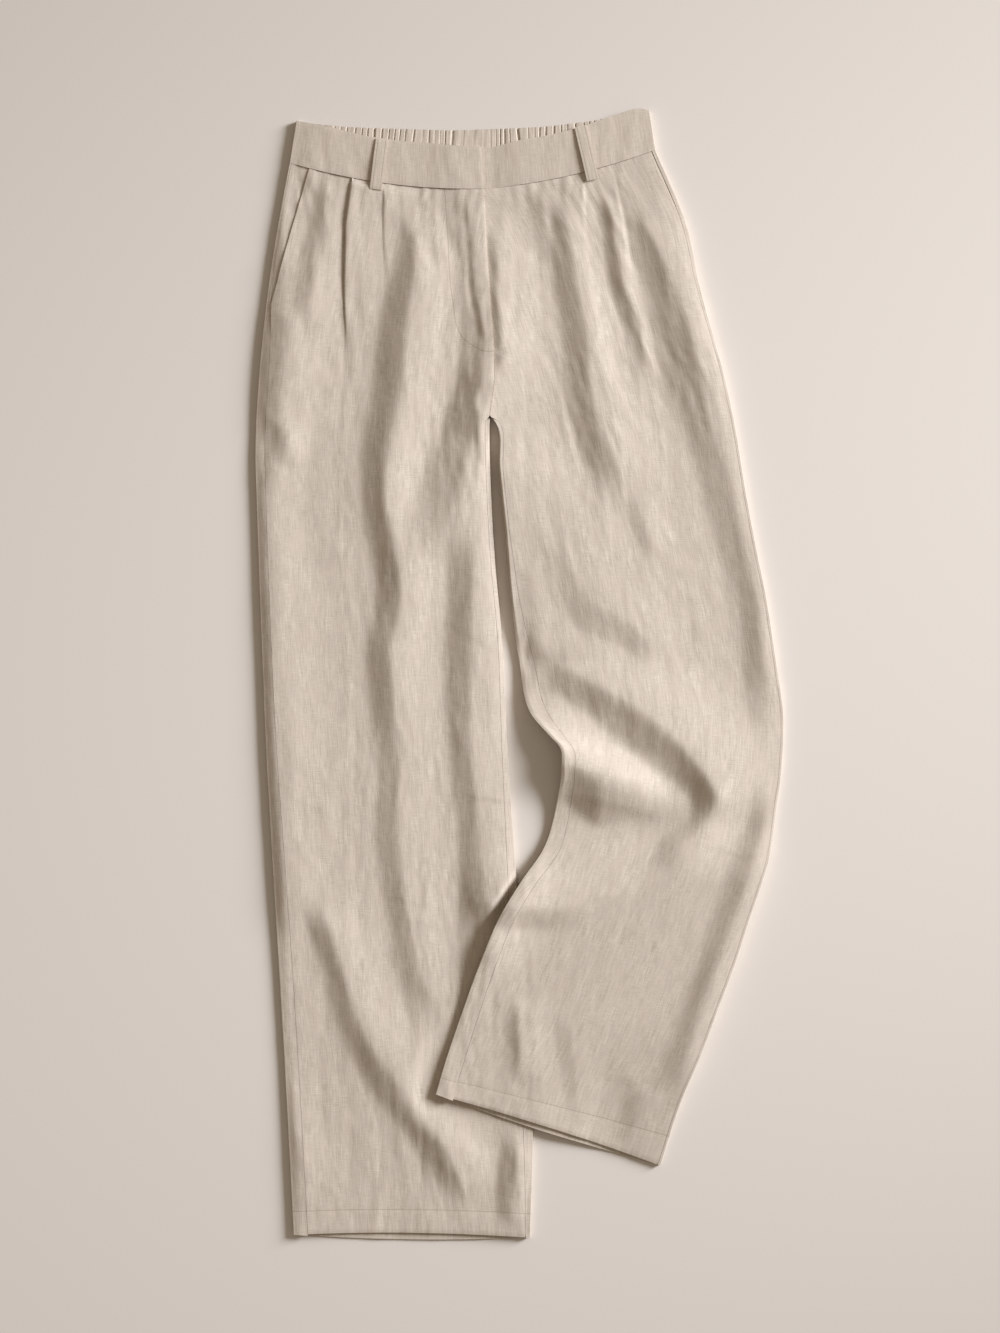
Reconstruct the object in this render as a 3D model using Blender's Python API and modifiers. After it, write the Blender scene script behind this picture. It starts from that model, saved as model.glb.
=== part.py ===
"""Pleated linen trousers laid flat on a surface, at their real size.

The trousers lie on their back, waist towards +Y.  The wearer's right leg (the -X side) lies
straight; the left leg (the +X side) bends at the knee and its lower part crosses over the right
one.  Every cloth piece is an open sheet, lofted through sections worked out below, which a
Solidify modifier turns into a wall.  Sizes are millimetres until the meshes are made.
"""

import math
from collections import namedtuple

import bpy
import numpy as np

# ---------------------------------------------------------------- driving dimensions (mm)
CLOTH = 1.2  # wall of a cloth piece
LOOP_CLOTH = 1.5  # a belt loop is folded cloth
SEAM_GAP = 0.5  # between two pieces at a seam
EDGE_HEIGHT = 6.0  # height of a leg's rolled edge
EDGE_ROLL = 3.0  # how far in the roll reaches
PUFF_REACH = 25.0  # how quickly the cloth rises inward from its rolled edge
FOLD_REACH = 16.0  # a fold dies out this far from a rolled edge
WAIST_RISE = 110.0  # length below the waist seam over which the legs reach full height
HEM_RISE = 90.0  # length above a hem over which they reach it
CROTCH_Y = 243.6
LAP_RISE = 1.65  # lift of the right front where it laps over the left one
LAP_WIDTH = 25.0  # reach of the left front under the right one
FLY_STOP_Y = 306.0  # lower end of the fly
POCKET_RISE = 1.6  # lift of a front where it lies over the pocket facing
FACING_DIP = 0.8  # how far the facing sinks under the front's edge
PLEAT_STEP = 2.0  # height of a pleat's folded edge
PLEAT_RUN = 26.0  # width over which a pleat's top layer settles again
CROSSING_HEIGHT = 6.8  # underside of the left leg where it lies on the right one
CROSSING_DRAPE = 45.0  # run over which the left leg comes down to the surface beside it
ROW_LENGTH = 40.0  # longest stretch between two rows of a leg's grid
BAND_TURN = 9.0  # length of front band that lies under its side end
GATHERS = 26  # small folds of the elasticated back band
LOOP_WIDTH = 11.4
CENTRE = (-0.5, 0.7)  # middle of the whole outline, where the part's origin lies

# ---------------------------------------------------------------- tables (mm)
# A leg's outline, one row for each section from the waist seam to the hem: where the section
# meets the outer and the inner edge, how far in from each edge the seam lies, how far the
# section's middle hangs below its ends, and how much the middle of the leg stands up.
Station = namedtuple(
    "Station", "outer_x outer_y inner_x inner_y outer_seam inner_seam sag puff"
)
RIGHT_LEG = [
    Station(-218.5, 485.5, -34.2, 460.8, 4.0, 0.0, 7.1, 7.0),
    Station(-225.2, 451.3, -32.0, 413.3, 4.0, 0.0, 3.0, 7.0),
    Station(-235.6, 389.5, -29.0, 365.8, 4.0, 0.0, 0.0, 7.0),
    Station(-242.3, 337.3, -25.5, 318.3, 5.0, 0.0, 0.0, 7.0),
    Station(-247.0, 290.0, -24.0, 280.0, 9.0, 0.0, 0.0, 7.0),
    Station(-250.2, 242.0, -28.6, 246.0, 9.0, 0.0, 0.0, 7.0),
    Station(-250.8, 228.0, -28.9, 239.5, 9.0, 4.0, 0.0, 7.0),
    Station(-249.9, 166.3, -27.6, 175.8, 9.0, 4.0, 0.0, 7.0),
    Station(-248.0, 109.3, -24.2, 114.0, 9.0, 4.0, 0.0, 7.0),
    Station(-245.1, 33.3, -17.1, 33.3, 9.0, 4.0, 0.0, 7.0),
    Station(-241.3, -61.8, -12.4, -61.8, 10.0, 5.0, 0.0, 7.0),
    Station(-236.6, -147.3, -6.7, -147.3, 11.4, 7.0, 0.0, 7.0),
    Station(-230.9, -242.3, 0.0, -242.3, 12.5, 9.0, 0.0, 6.0),
    Station(-225.2, -337.3, 6.7, -337.3, 13.0, 9.5, 0.0, 5.0),
    Station(-220.4, -422.8, 11.9, -422.8, 13.3, 9.5, 0.0, 5.0),
    Station(-214.7, -531.1, 9.5, -533.9, 13.3, 4.0, -3.2, 5.0),
]
LEFT_LEG = [
    Station(128.3, 497.8, -34.2, 460.8, 4.0, 0.0, 5.7, 7.0),
    Station(157.7, 427.5, -32.0, 413.3, 4.0, 0.0, 2.4, 7.0),
    Station(169.7, 371.0, -29.0, 365.8, 4.0, 0.0, 0.0, 7.0),
    Station(183.4, 320.0, -25.5, 318.3, 4.0, 0.0, 0.0, 7.0),
    Station(193.7, 283.0, -24.0, 280.0, 4.0, 0.0, 0.0, 7.0),
    Station(202.3, 243.0, -28.6, 246.0, 4.0, 0.0, 0.0, 7.0),
    Station(204.3, 232.8, -26.0, 239.5, 4.0, 4.0, 0.0, 7.0),
    Station(212.8, 180.5, -20.0, 194.8, 4.0, 4.0, 0.0, 7.0),
    Station(222.3, 128.3, -14.3, 137.8, 4.0, 4.0, 0.0, 7.0),
    Station(233.7, 71.3, -8.6, 71.3, 4.0, 8.0, 0.0, 7.0),
    Station(243.2, 9.5, -1.0, 14.3, 4.0, 14.0, 0.0, 7.0),
    Station(249.9, -44.7, 10.5, -37.1, 4.0, 17.0, 0.0, 7.0),
    Station(248.9, -76.0, 26.6, -56.1, 4.0, 15.0, 0.0, 7.0),
    Station(247.0, -99.8, 38.0, -69.4, 4.0, 13.0, 0.0, 7.0),
    Station(243.2, -124.5, 39.0, -85.5, 4.0, 13.0, 0.0, 7.0),
    Station(237.5, -166.3, 36.1, -114.0, 4.0, 13.0, 0.0, 6.5),
    Station(228.0, -199.5, 23.8, -161.5, 4.0, 15.0, 0.0, 6.0),
    Station(216.6, -232.8, 0.0, -196.7, 4.0, 14.0, 0.0, 5.0),
    Station(204.3, -270.8, -19.0, -228.0, 4.0, 14.0, 0.0, 4.0),
    Station(189.1, -311.6, -38.0, -272.7, 4.0, 15.0, 0.0, 3.5),
    Station(171.0, -360.1, -55.1, -320.2, 4.0, 16.0, 0.0, 3.0),
    Station(152.0, -405.7, -69.4, -362.0, 4.0, 17.0, 0.0, 3.0),
    Station(133.0, -465.5, -79.8, -397.1, 4.0, 17.0, -2.7, 3.0),
]
LEFT_SHIN_ROW = 16  # the left leg's first station that lies beside or on the right leg
BACK_HEM_DROP = 6.2  # how far the back's hem shows below the front's in mid leg
BACK_WAIST_LIFT = 17.0  # how far the back waist seam stands above the front's at the centre

# The large folds.  A fold is a steep flank along a route: high on the left of its travel, low on
# the right, each easing back to the panel's height over its own tail.
Fold = namedtuple("Fold", "name route half_width rise high_tail low_tail")
FOLDS = [
    Fold("beside right pocket", [(-188, 470), (-195, 420), (-205, 375), (-212, 330)],
         8, 0.8, 16, 14),
    Fold("right thigh", [(-112, 455), (-104, 415), (-107, 365), (-120, 340), (-125, 300),
                         (-132, 260), (-142, 225), (-143, 165), (-135, 125), (-125, 90),
                         (-130, 50), (-136, 0)], 14, 3.2, 24, 34),
    Fold("right of crotch", [(-45, 290), (-50, 260), (-62, 235), (-75, 205), (-88, 175),
                             (-97, 145)], 10, 2.4, 16, 18),
    Fold("right inner thigh", [(-58, 125), (-60, 30), (-57, 0), (-55, -50), (-48, -100),
                               (-45, -150), (-43, -205)], 10, 2.2, 14, 20),
    Fold("right mid leg", [(-130, 50), (-135, 0), (-122, -75), (-125, -125), (-118, -225),
                           (-105, -290), (-88, -370)], 13, 1.0, 22, 24),
    Fold("right shin", [(-198, -225), (-180, -265), (-165, -310), (-145, -350),
                        (-125, -385), (-105, -415), (-85, -445), (-70, -475),
                        (-55, -505)], 11, 2.8, 22, 26),
    Fold("left fly side", [(14, 455), (22, 430), (26, 405)], 8, 0.7, 12, 10),
    Fold("left thigh", [(38, 430), (42, 350), (50, 320), (57, 290), (62, 260), (72, 235),
                        (82, 205), (92, 160)], 12, 3.0, 22, 26),
    Fold("left pleat run", [(78, 435), (88, 405), (93, 375), (98, 350), (107, 315),
                            (112, 290)], 7, 1.5, 14, 14),
    Fold("left outer", [(98, 470), (107, 445), (118, 415), (130, 385), (138, 350),
                        (150, 315), (162, 285), (175, 235), (190, 175), (203, 110),
                        (212, 75), (218, 40), (222, 0), (232, -75)], 9, 2.2, 12, 22),
    Fold("above knee", [(30, 130), (38, 100), (55, 70), (75, 50), (105, 38), (125, 15)],
         10, 1.2, 22, 20),
    Fold("knee", [(22, 12), (35, 5), (55, -10), (75, -25), (100, -38), (125, -52),
                  (150, -70), (170, -92), (174, -118)], 13, 4.0, 30, 24),
    Fold("behind knee", [(28, -108), (60, -118), (85, -128), (120, -136), (160, -140),
                         (186, -128)], 12, 2.6, 20, 24),
    Fold("below knee", [(10, -236), (50, -232), (80, -225), (110, -210), (135, -190)],
         9, 1.0, 18, 18),
    Fold("left shin", [(240, -105), (225, -140), (205, -205), (190, -240), (165, -310),
                       (150, -345), (128, -405)], 8, 1.8, 12, 18),
    Fold("left calf", [(-5, -290), (-10, -340), (-15, -385)], 8, 0.8, 16, 16),
]

# The folded edges of the pleats, waist seam downwards.  Both fold towards the side seam.
RIGHT_PLEATS = [
    [(-161, 478), (-166, 440), (-167, 410), (-168.4, 366), (-165.3, 341), (-166.7, 307)],
    [(-132, 472), (-130.6, 425), (-127.8, 388.6), (-125.8, 372), (-124, 345)],
]
LEFT_PLEATS = [
    [(88, 490), (94, 461), (100.5, 430), (103.6, 398), (112, 350)],
    [(61, 480), (63.6, 445.6), (66.5, 406), (74, 352)],
]
# The slanted mouths of the hip pockets, waist seam down to the side seam.
RIGHT_MOUTH = [(-199.8, 485), (-213.8, 435), (-224.0, 398), (-232.0, 367), (-238.0, 345)]
LEFT_MOUTH = [(122.0, 499), (134.6, 471), (146.5, 444), (152.5, 424)]
# The upper edge of the front waistband, from each side end to the lap.
RIGHT_BAND_TOP = [(-212, 526), (-177, 518.7), (-149.5, 512), (-123.5, 507.8), (-87, 504.5),
                  (-58, 501.6), (-36.5, 500.7)]
LEFT_BAND_TOP = [(122.5, 535.5), (117.8, 536.8), (84.6, 529), (51.7, 518), (22, 511),
                 (-2, 506.9), (-28.5, 500.7), (-36.5, 500.4)]
# The upper edge of the gathered back waistband.
BACK_BAND_TOP = [(-177, 520.9), (-130.6, 518.7), (-101.7, 517.8), (-58, 516.8),
                 (-25.7, 518), (13.9, 519.7), (51.7, 523.5), (77, 527.3), (98, 531.3)]
# The waist seam's height at a few places across the front.
WAIST_SEAM = [(-218.5, 485.5), (-170, 475.0), (-127, 466.3), (-80, 461.5), (-34, 460.8),
              (10, 465.5), (59.6, 476.9), (128.2, 497.8)]
LOOPS = {  # upper end and lower end of each belt loop's middle line
    "right_belt_loop": [(-131.0, 508.0), (-136.8, 460.3)],
    "left_belt_loop": [(57.0, 520.5), (69.0, 469.3)],
}

COLOURS = {  # base colour and roughness of each finish
    "linen": ((0.60, 0.52, 0.42, 1.0), 0.9),
    "waistband_linen": ((0.62, 0.54, 0.44, 1.0), 0.9),
}


# ---------------------------------------------------------------- curves and easing
def ease(x):
    """Rise from 0 to 1 as x goes from 0 to 1, level at both ends."""
    x = np.clip(x, 0.0, 1.0)
    return x * x * (3.0 - 2.0 * x)


def curve_at(knots, values, at):
    """Read a smooth curve through values at the knots, one column for each quantity."""
    slopes = np.gradient(values, knots, axis=0)
    cell = np.clip(np.searchsorted(knots, at, side="right") - 1, 0, len(knots) - 2)
    length = (knots[cell + 1] - knots[cell])[:, None]
    t = (at - knots[cell])[:, None] / length
    start = values[cell] * (2 * t**3 - 3 * t**2 + 1) + slopes[cell] * length * (
        t**3 - 2 * t**2 + t
    )
    end = values[cell + 1] * (3 * t**2 - 2 * t**3) + slopes[cell + 1] * length * (
        t**3 - t**2
    )
    return start + end


def along(points, fractions):
    """Points at the given fractions of the length of a smooth curve through the points."""
    points = np.asarray(points, dtype=float)
    steps = np.linalg.norm(np.diff(points, axis=0), axis=1)
    knots = np.concatenate([[0.0], np.cumsum(steps)])
    return curve_at(knots, points, np.asarray(fractions, dtype=float) * knots[-1])


def line_x(points, y):
    """The x of a line of points that runs down the cloth, at the height y."""
    table = np.asarray(points, dtype=float)[::-1]
    return np.interp(y, table[:, 1], table[:, 0])


# ---------------------------------------------------------------- the height of the cloth
def fold_height(fold, x, y):
    """What one fold adds to the height at the points (x, y)."""
    route = along(fold.route, np.linspace(0.0, 1.0, 4 * len(fold.route)))
    best = np.full(x.shape, np.inf)
    side = np.zeros(x.shape)
    place = np.zeros(x.shape)
    for number, (start, end) in enumerate(zip(route[:-1], route[1:])):
        run = end - start
        length = float(np.hypot(*run))
        t = np.clip(((x - start[0]) * run[0] + (y - start[1]) * run[1]) / length**2, 0, 1)
        off_x = x - start[0] - t * run[0]
        off_y = y - start[1] - t * run[1]
        distance = np.hypot(off_x, off_y)
        nearer = distance < best
        best = np.where(nearer, distance, best)
        side = np.where(nearer, run[0] * off_y - run[1] * off_x, side)
        place = np.where(nearer, (number + t) / (len(route) - 1), place)
    across = best / fold.half_width
    flank = across * np.exp((1.0 - across**2) / 2.0)
    tail = np.where(side > 0, fold.high_tail, fold.low_tail)
    settle = np.exp(-(((best - fold.half_width) / tail) ** 2) / 2.0)
    shape = np.where(best < fold.half_width, flank, settle)
    fade = ease(place / 0.2) * ease((1.0 - place) / 0.2)
    return fold.rise * fade * np.sign(side) * shape


def below_waist(x, y):
    """How far a point lies below the waist seam."""
    seam = np.asarray(WAIST_SEAM)
    return np.interp(x, seam[:, 0], seam[:, 1]) - y


def surface_under_left(x, y):
    """Height of what the left leg lies on: the right leg where they cross, else the floor."""
    inner = np.asarray([(row.inner_y, row.inner_x) for row in RIGHT_LEG])[::-1]
    beside = x - np.interp(y, inner[:, 0], inner[:, 1])
    crossing = ease((-110.0 - y) / 80.0)
    return CROSSING_HEIGHT * crossing * (1.0 - ease((beside - 2.0) / CROSSING_DRAPE))


def pressed(x, y):
    """1 where the left leg lies on the right one, 0 clear of it."""
    edge = np.asarray([(row.inner_y, row.inner_x) for row in LEFT_LEG[LEFT_SHIN_ROW:]])[::-1]
    hem_start, hem_end = LEFT_LEG[-1][2:4], LEFT_LEG[-1][0:2]
    hem_slope = (hem_end[1] - hem_start[1]) / (hem_end[0] - hem_start[0])
    inside_edge = ease((x - np.interp(y, edge[:, 0], edge[:, 1]) + 50.0) / 40.0)
    above_hem = ease((y - hem_start[1] - hem_slope * (x - hem_start[0]) + 50.0) / 36.0)
    return inside_edge * above_hem


class Leg:
    """One leg with its half of the seat: its outline, and the height of its cloth."""

    def __init__(self, stations, crossing):
        self.table = np.asarray(stations, dtype=float)
        middle = (self.table[:, 0:2] + self.table[:, 2:4]) / 2.0
        steps = np.linalg.norm(np.diff(middle, axis=0), axis=1)
        self.knots = np.concatenate([[0.0], np.cumsum(steps)])
        self.length = self.knots[-1]
        self.crossing = crossing

    def rows(self):
        """Distances down the leg of the grid's rows, with every station among them."""
        places = [0.0]
        for start, end in zip(self.knots[:-1], self.knots[1:]):
            count = max(1, math.ceil((end - start) / ROW_LENGTH))
            places += list(start + (end - start) * np.arange(1, count + 1) / count)
        return np.asarray(places)

    def section(self, down):
        """The outline's sizes at distances down the leg, as named columns."""
        at = np.atleast_1d(down)
        outline = curve_at(self.knots, self.table[:, 0:4], at).T
        details = [np.interp(at, self.knots, column) for column in self.table[:, 4:].T]
        cut = Station(*outline, *details)
        seat = [row[2:4] for row in RIGHT_LEG if row.inner_y > CROTCH_Y]
        centre_x = line_x(seat, cut.inner_y)
        return cut._replace(inner_x=np.where(cut.inner_y > CROTCH_Y, centre_x, cut.inner_x))

    def place(self, down, inward, sag_factor=1.0, lift=0.0):
        """Points (x, y) at a distance inward from the outer edge, and each section's width."""
        cut = self.section(down)
        run_x = cut.inner_x - cut.outer_x
        run_y = cut.inner_y + lift - cut.outer_y
        width = np.hypot(run_x, run_y)
        u = inward / width
        x = cut.outer_x + run_x * u
        y = cut.outer_y + run_y * u - sag_factor * cut.sag * 4.0 * u * (1.0 - u)
        return x, y, width

    def top(self, down, inward, x, y, width):
        """Height of the cloth's upper face over the surface that the trousers lie on."""
        down = np.broadcast_to(down, x.shape)
        split = ease((CROTCH_Y + 6.0 - y) / 36.0)
        far = width - inward
        rise_out = 1.0 - np.exp(-np.maximum(inward - EDGE_ROLL, 0.0) / PUFF_REACH)
        rise_in = 1.0 - np.exp(-np.maximum(far - EDGE_ROLL, 0.0) / PUFF_REACH)
        middle = rise_out * (1.0 - split * (1.0 - rise_in))
        waist = ease(below_waist(x, y) / WAIST_RISE)
        hem = ease((self.length - down) / HEM_RISE)
        puff = np.interp(down, self.knots, self.table[:, 7])
        folds = sum(fold_height(fold, x, y) for fold in FOLDS)
        steady = ease((inward - EDGE_ROLL) / FOLD_REACH)
        steady = steady * (1.0 - split * (1.0 - ease((far - EDGE_ROLL) / FOLD_REACH)))
        steady = steady * ease(below_waist(x, y) / 28.0)
        height = EDGE_HEIGHT + puff * middle * waist * hem + folds * steady * hem
        if self.crossing:
            return height + surface_under_left(x, y)
        press = pressed(x, y)
        return height * (1.0 - press) + EDGE_HEIGHT * press


RIGHT = Leg(RIGHT_LEG, crossing=False)
LEFT = Leg(LEFT_LEG, crossing=True)


# ---------------------------------------------------------------- making the solids
def remove_everything():
    """Start from an empty file."""
    for item in list(bpy.data.objects):
        bpy.data.objects.remove(item, do_unlink=True)


def finish_material(slot):
    """The Principled BSDF of one finish, made once."""
    material = bpy.data.materials.get(slot)
    if material is None:
        colour, roughness = COLOURS[slot]
        material = bpy.data.materials.new(slot)
        material.use_nodes = True
        shader = material.node_tree.nodes["Principled BSDF"]
        shader.inputs["Base Color"].default_value = colour
        shader.inputs["Roughness"].default_value = roughness
        shader.inputs["Metallic"].default_value = 0.0
    return material


def sheet(name, slot, x, y, z, thickness=CLOTH):
    """A cloth wall: a grid of points on its outer face, thickened inwards by Solidify."""
    rows, columns = x.shape
    points = np.stack([x - CENTRE[0], y - CENTRE[1], z], axis=-1)
    vertices = points.reshape(-1, 3) / 1000.0
    faces = []
    for row in range(rows - 1):
        for column in range(columns - 1):
            corner = row * columns + column
            faces.append((corner, corner + columns, corner + columns + 1, corner + 1))
    mesh = bpy.data.meshes.new(name)
    mesh.from_pydata(vertices.tolist(), [], faces)
    mesh.materials.append(finish_material(slot))
    mesh.shade_smooth()
    piece = bpy.data.objects.new(name, mesh)
    PARTS.objects.link(piece)
    wall = piece.modifiers.new("cloth", "SOLIDIFY")
    wall.thickness = thickness / 1000.0
    wall.offset = -1.0
    return piece


def turned_over(grids):
    """The same sheet with its columns reversed, which turns its outer face over."""
    return [grid[:, ::-1] for grid in grids]


# ---------------------------------------------------------------- the two fronts
def front_grid(leg, pleats, mouth, under_lap):
    """Points on a front's upper face: columns run down the leg, tight at each pleat."""
    rows = leg.rows()
    down = rows[:, None]
    cut = leg.section(rows)
    side = 1.0 if leg is RIGHT else -1.0
    _, _, width = leg.place(rows, np.zeros_like(rows))
    # The outer limit is the side seam or, higher up, the pocket's mouth.
    outer = cut.outer_seam.copy()
    middle_y = cut.outer_y
    mouth_y = np.asarray(mouth)[-1, 1]
    mouth_inward = side * (line_x(mouth, middle_y) - cut.outer_x)
    outer = np.where(middle_y > mouth_y, np.maximum(mouth_inward, outer), outer)
    inner = width - cut.inner_seam - SEAM_GAP / 2.0
    if under_lap:
        fly = ease((cut.inner_y - FLY_STOP_Y + 6.0) / 12.0)
        inner = inner + fly * LAP_WIDTH
    # Each pleat's folded edge is a guide for two columns a step apart.
    limits = [outer]
    for pleat in pleats:
        guide = side * (line_x(pleat, middle_y) - cut.outer_x)
        low_y = np.asarray(pleat)[-1, 1]
        last = np.nonzero(middle_y > low_y)[0][-1]
        share = guide[last] / width[last]
        guide = np.where(middle_y > low_y, guide, share * width)
        limits += [guide - 1.2, guide + 1.2]
    limits.append(inner)
    counts = [2, 1, 2, 1, 6]
    columns = []
    for start, end, count in zip(limits[:-1], limits[1:], counts):
        for step in range(count):
            columns.append(start + (end - start) * step / count)
    columns.append(inner)
    inward = np.stack(columns, axis=1)
    x, y, width = place_grid(leg, rows, inward)
    z = leg.top(down, inward, x, y, width)
    for pleat, limit in zip(pleats, (limits[2], limits[4])):
        past = inward - limit[:, None]
        low_y = np.asarray(pleat)[-1, 1]
        depth = PLEAT_STEP * ease((y - low_y) / 70.0)
        z = z + depth * np.where(past < -0.01, 0.0, 1.0 - ease(past / PLEAT_RUN))
    over_facing = POCKET_RISE * ease((y - mouth_y + 25.0) / 25.0)
    z = z + over_facing * (1.0 - ease((inward - outer[:, None] - 10.0) / 22.0))
    if not under_lap:
        lap = LAP_RISE * ease((y - FLY_STOP_Y + 44.0) / 18.0)
        z = z + lap * (1.0 - ease((width - inward - LAP_WIDTH - 4.0) / 34.0))
    return x, y, z


def place_grid(leg, rows, inward, sag_factor=1.0, lift=0.0):
    """The (x, y) and section width of a grid of distances inward, row by row."""
    places = [leg.place(down, line, sag_factor, lift) for down, line in zip(rows, inward)]
    x = np.stack([place[0] for place in places])
    y = np.stack([place[1] for place in places])
    width = np.stack([np.broadcast_to(place[2], place[0].shape) for place in places])
    return x, y, width


def make_fronts():
    """The two front leg panels with their pleats; the right one laps over the left."""
    grids = front_grid(RIGHT, RIGHT_PLEATS, RIGHT_MOUTH, under_lap=False)
    sheet("right_front", "linen", *grids)
    grids = front_grid(LEFT, LEFT_PLEATS, LEFT_MOUTH, under_lap=True)
    sheet("left_front", "linen", *turned_over(grids))


# ---------------------------------------------------------------- the two backs
def under_columns(leg, down, width):
    """Places across a back's underside: they follow the drop beside the right leg."""
    even = EDGE_ROLL + (width - 2.0 * EDGE_ROLL) * np.asarray([0.25, 0.5, 0.75])
    if not leg.crossing:
        return even
    inward = np.linspace(EDGE_ROLL + 4.0, width - EDGE_ROLL - 4.0, 80)
    x, y, _ = leg.place(down, inward)
    inner = np.asarray([(row.inner_y, row.inner_x) for row in RIGHT_LEG])[::-1]
    beside = x - np.interp(y, inner[:, 0], inner[:, 1])
    bends = np.interp([-CROSSING_DRAPE, -0.5 * CROSSING_DRAPE, -3.0], -beside, inward)
    bends = np.minimum(bends, bends[2] - np.asarray([40.0, 20.0, 0.0]))
    crossing = float(ease((-80.0 - y.mean()) / 60.0))
    return even * (1.0 - crossing) + bends * crossing


def back_grid(leg):
    """Points round a back: side seam, rolled edge, underside, rolled edge, inseam."""
    rows = leg.rows()
    cut = leg.section(rows)
    legs_apart = cut.inner_y < CROTCH_Y
    lift = BACK_WAIST_LIFT * ease(1.0 - rows / 60.0)
    hem = (1.0 - BACK_HEM_DROP / 3.0) * ease((rows - leg.length + 30.0) / 30.0)
    angles = np.radians([90.0, 30.0, -30.0, -90.0])
    roll = EDGE_ROLL * (1.0 - np.cos(angles))
    turn = 0.5 * (1.0 + np.sin(angles))
    grids = []
    for number, down in enumerate(rows):
        _, _, width = leg.place(down, 0.0, lift=lift[number])
        width = float(width[0])
        outer = cut.outer_seam[number] - SEAM_GAP / 2.0
        inner = cut.inner_seam[number] - SEAM_GAP / 2.0
        if legs_apart[number]:
            end = np.concatenate([width - roll[::-1], [width - inner]])
            end_turn = np.concatenate([turn[::-1], [1.0]])
            end_top = np.minimum(end, width - EDGE_ROLL)
            end_top[-1] = end[-1]
        else:
            end = width - SEAM_GAP / 2.0 - 1.4 * np.arange(4, -1, -1)
            end_turn = np.zeros(5)
            end_top = end
        under = under_columns(leg, down, width)
        inward = np.concatenate([[outer], roll, under, end])
        share = np.concatenate([[1.0], turn, np.zeros(3), end_turn])
        crest = np.concatenate([[outer], np.full(4, EDGE_ROLL), under, end_top])
        x, y, _ = leg.place(down, inward, hem[number], lift[number])
        top_x, top_y, _ = leg.place(down, crest, hem[number], lift[number])
        level = np.full_like(x, down)
        top = leg.top(level, crest, top_x, top_y, np.full_like(x, width))
        floor = surface_under_left(x, y) if leg.crossing else np.zeros_like(x)
        crest_floor = surface_under_left(top_x, top_y) if leg.crossing else floor
        z = floor + (top - crest_floor) * share
        grids.append((x, y, z))
    return [np.stack([grid[axis] for grid in grids]) for axis in range(3)]


def make_backs():
    """The two back leg panels, which roll over both edges of their leg to the seams."""
    sheet("right_back", "linen", *turned_over(back_grid(RIGHT)))
    sheet("left_back", "linen", *back_grid(LEFT))


# ---------------------------------------------------------------- the hip pieces
def facing_grid(leg, mouth):
    """The hip piece that shows in the pocket's mouth and runs on under the front."""
    rows = leg.rows()
    cut = leg.section(rows)
    side = 1.0 if leg is RIGHT else -1.0
    mouth_y = np.asarray(mouth)[-1, 1]
    rows = rows[cut.outer_y > mouth_y]
    cut = leg.section(rows)
    start = cut.outer_seam + SEAM_GAP / 2.0
    end = np.maximum(side * (line_x(mouth, cut.outer_y) - cut.outer_x), start) + 8.0
    inward = start[:, None] + (end - start)[:, None] * np.linspace(0.0, 1.0, 4)
    x, y, width = place_grid(leg, rows, inward)
    dip = FACING_DIP * ease((inward - start[:, None]) / 6.0)
    return x, y, leg.top(rows[:, None], inward, x, y, width) - dip


def make_facings():
    """The two pocket facings."""
    sheet("right_pocket_facing", "linen", *facing_grid(RIGHT, RIGHT_MOUTH))
    sheet("left_pocket_facing", "linen", *turned_over(facing_grid(LEFT, LEFT_MOUTH)))


# ---------------------------------------------------------------- the waistband
def front_band_grid(leg, top_edge, under_lap):
    """Half of the smooth front band: round its side end, then flat to the lap."""
    angles = np.radians([-90.0, -40.0, 10.0, 50.0, 90.0])
    roll = EDGE_ROLL * (1.0 - np.cos(angles))
    rise = EDGE_HEIGHT / 2.0 * (1.0 + np.sin(angles))
    _, _, width = leg.place(0.0, 0.0)
    width = float(width[0])
    reach = width + (LAP_WIDTH if under_lap else 0.0) - SEAM_GAP / 2.0
    flat = EDGE_ROLL + (reach - EDGE_ROLL) * np.arange(1, 13) / 12.0
    inward = np.concatenate([[BAND_TURN], roll, flat])
    height = np.concatenate([[0.0], rise, np.full(12, EDGE_HEIGHT)])
    if not under_lap:
        lap = 1.0 - ease((width - inward - LAP_WIDTH - 4.0) / 34.0)
        height = height + LAP_RISE * np.where(height > 5.0, lap, 0.0)
    low_x, low_y, _ = leg.place(0.0, inward)
    back_y = leg.place(0.0, inward, 0.0, BACK_WAIST_LIFT)[1]
    turned = (inward < EDGE_ROLL + SEAM_GAP) | (height < EDGE_HEIGHT / 2.0)
    low_y = np.where(turned, back_y, low_y)
    high = along(top_edge, np.clip(inward / width, 0.0, 1.0))
    high[:, 0] -= np.maximum(inward - width, 0.0)
    rows = np.linspace(0.0, 1.0, 4)[:, None]
    low_y = low_y + SEAM_GAP
    x = low_x * (1.0 - rows) + high[:, 0] * rows
    y = low_y * (1.0 - rows) + high[:, 1] * rows
    return x, y, np.broadcast_to(height, x.shape)


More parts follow.
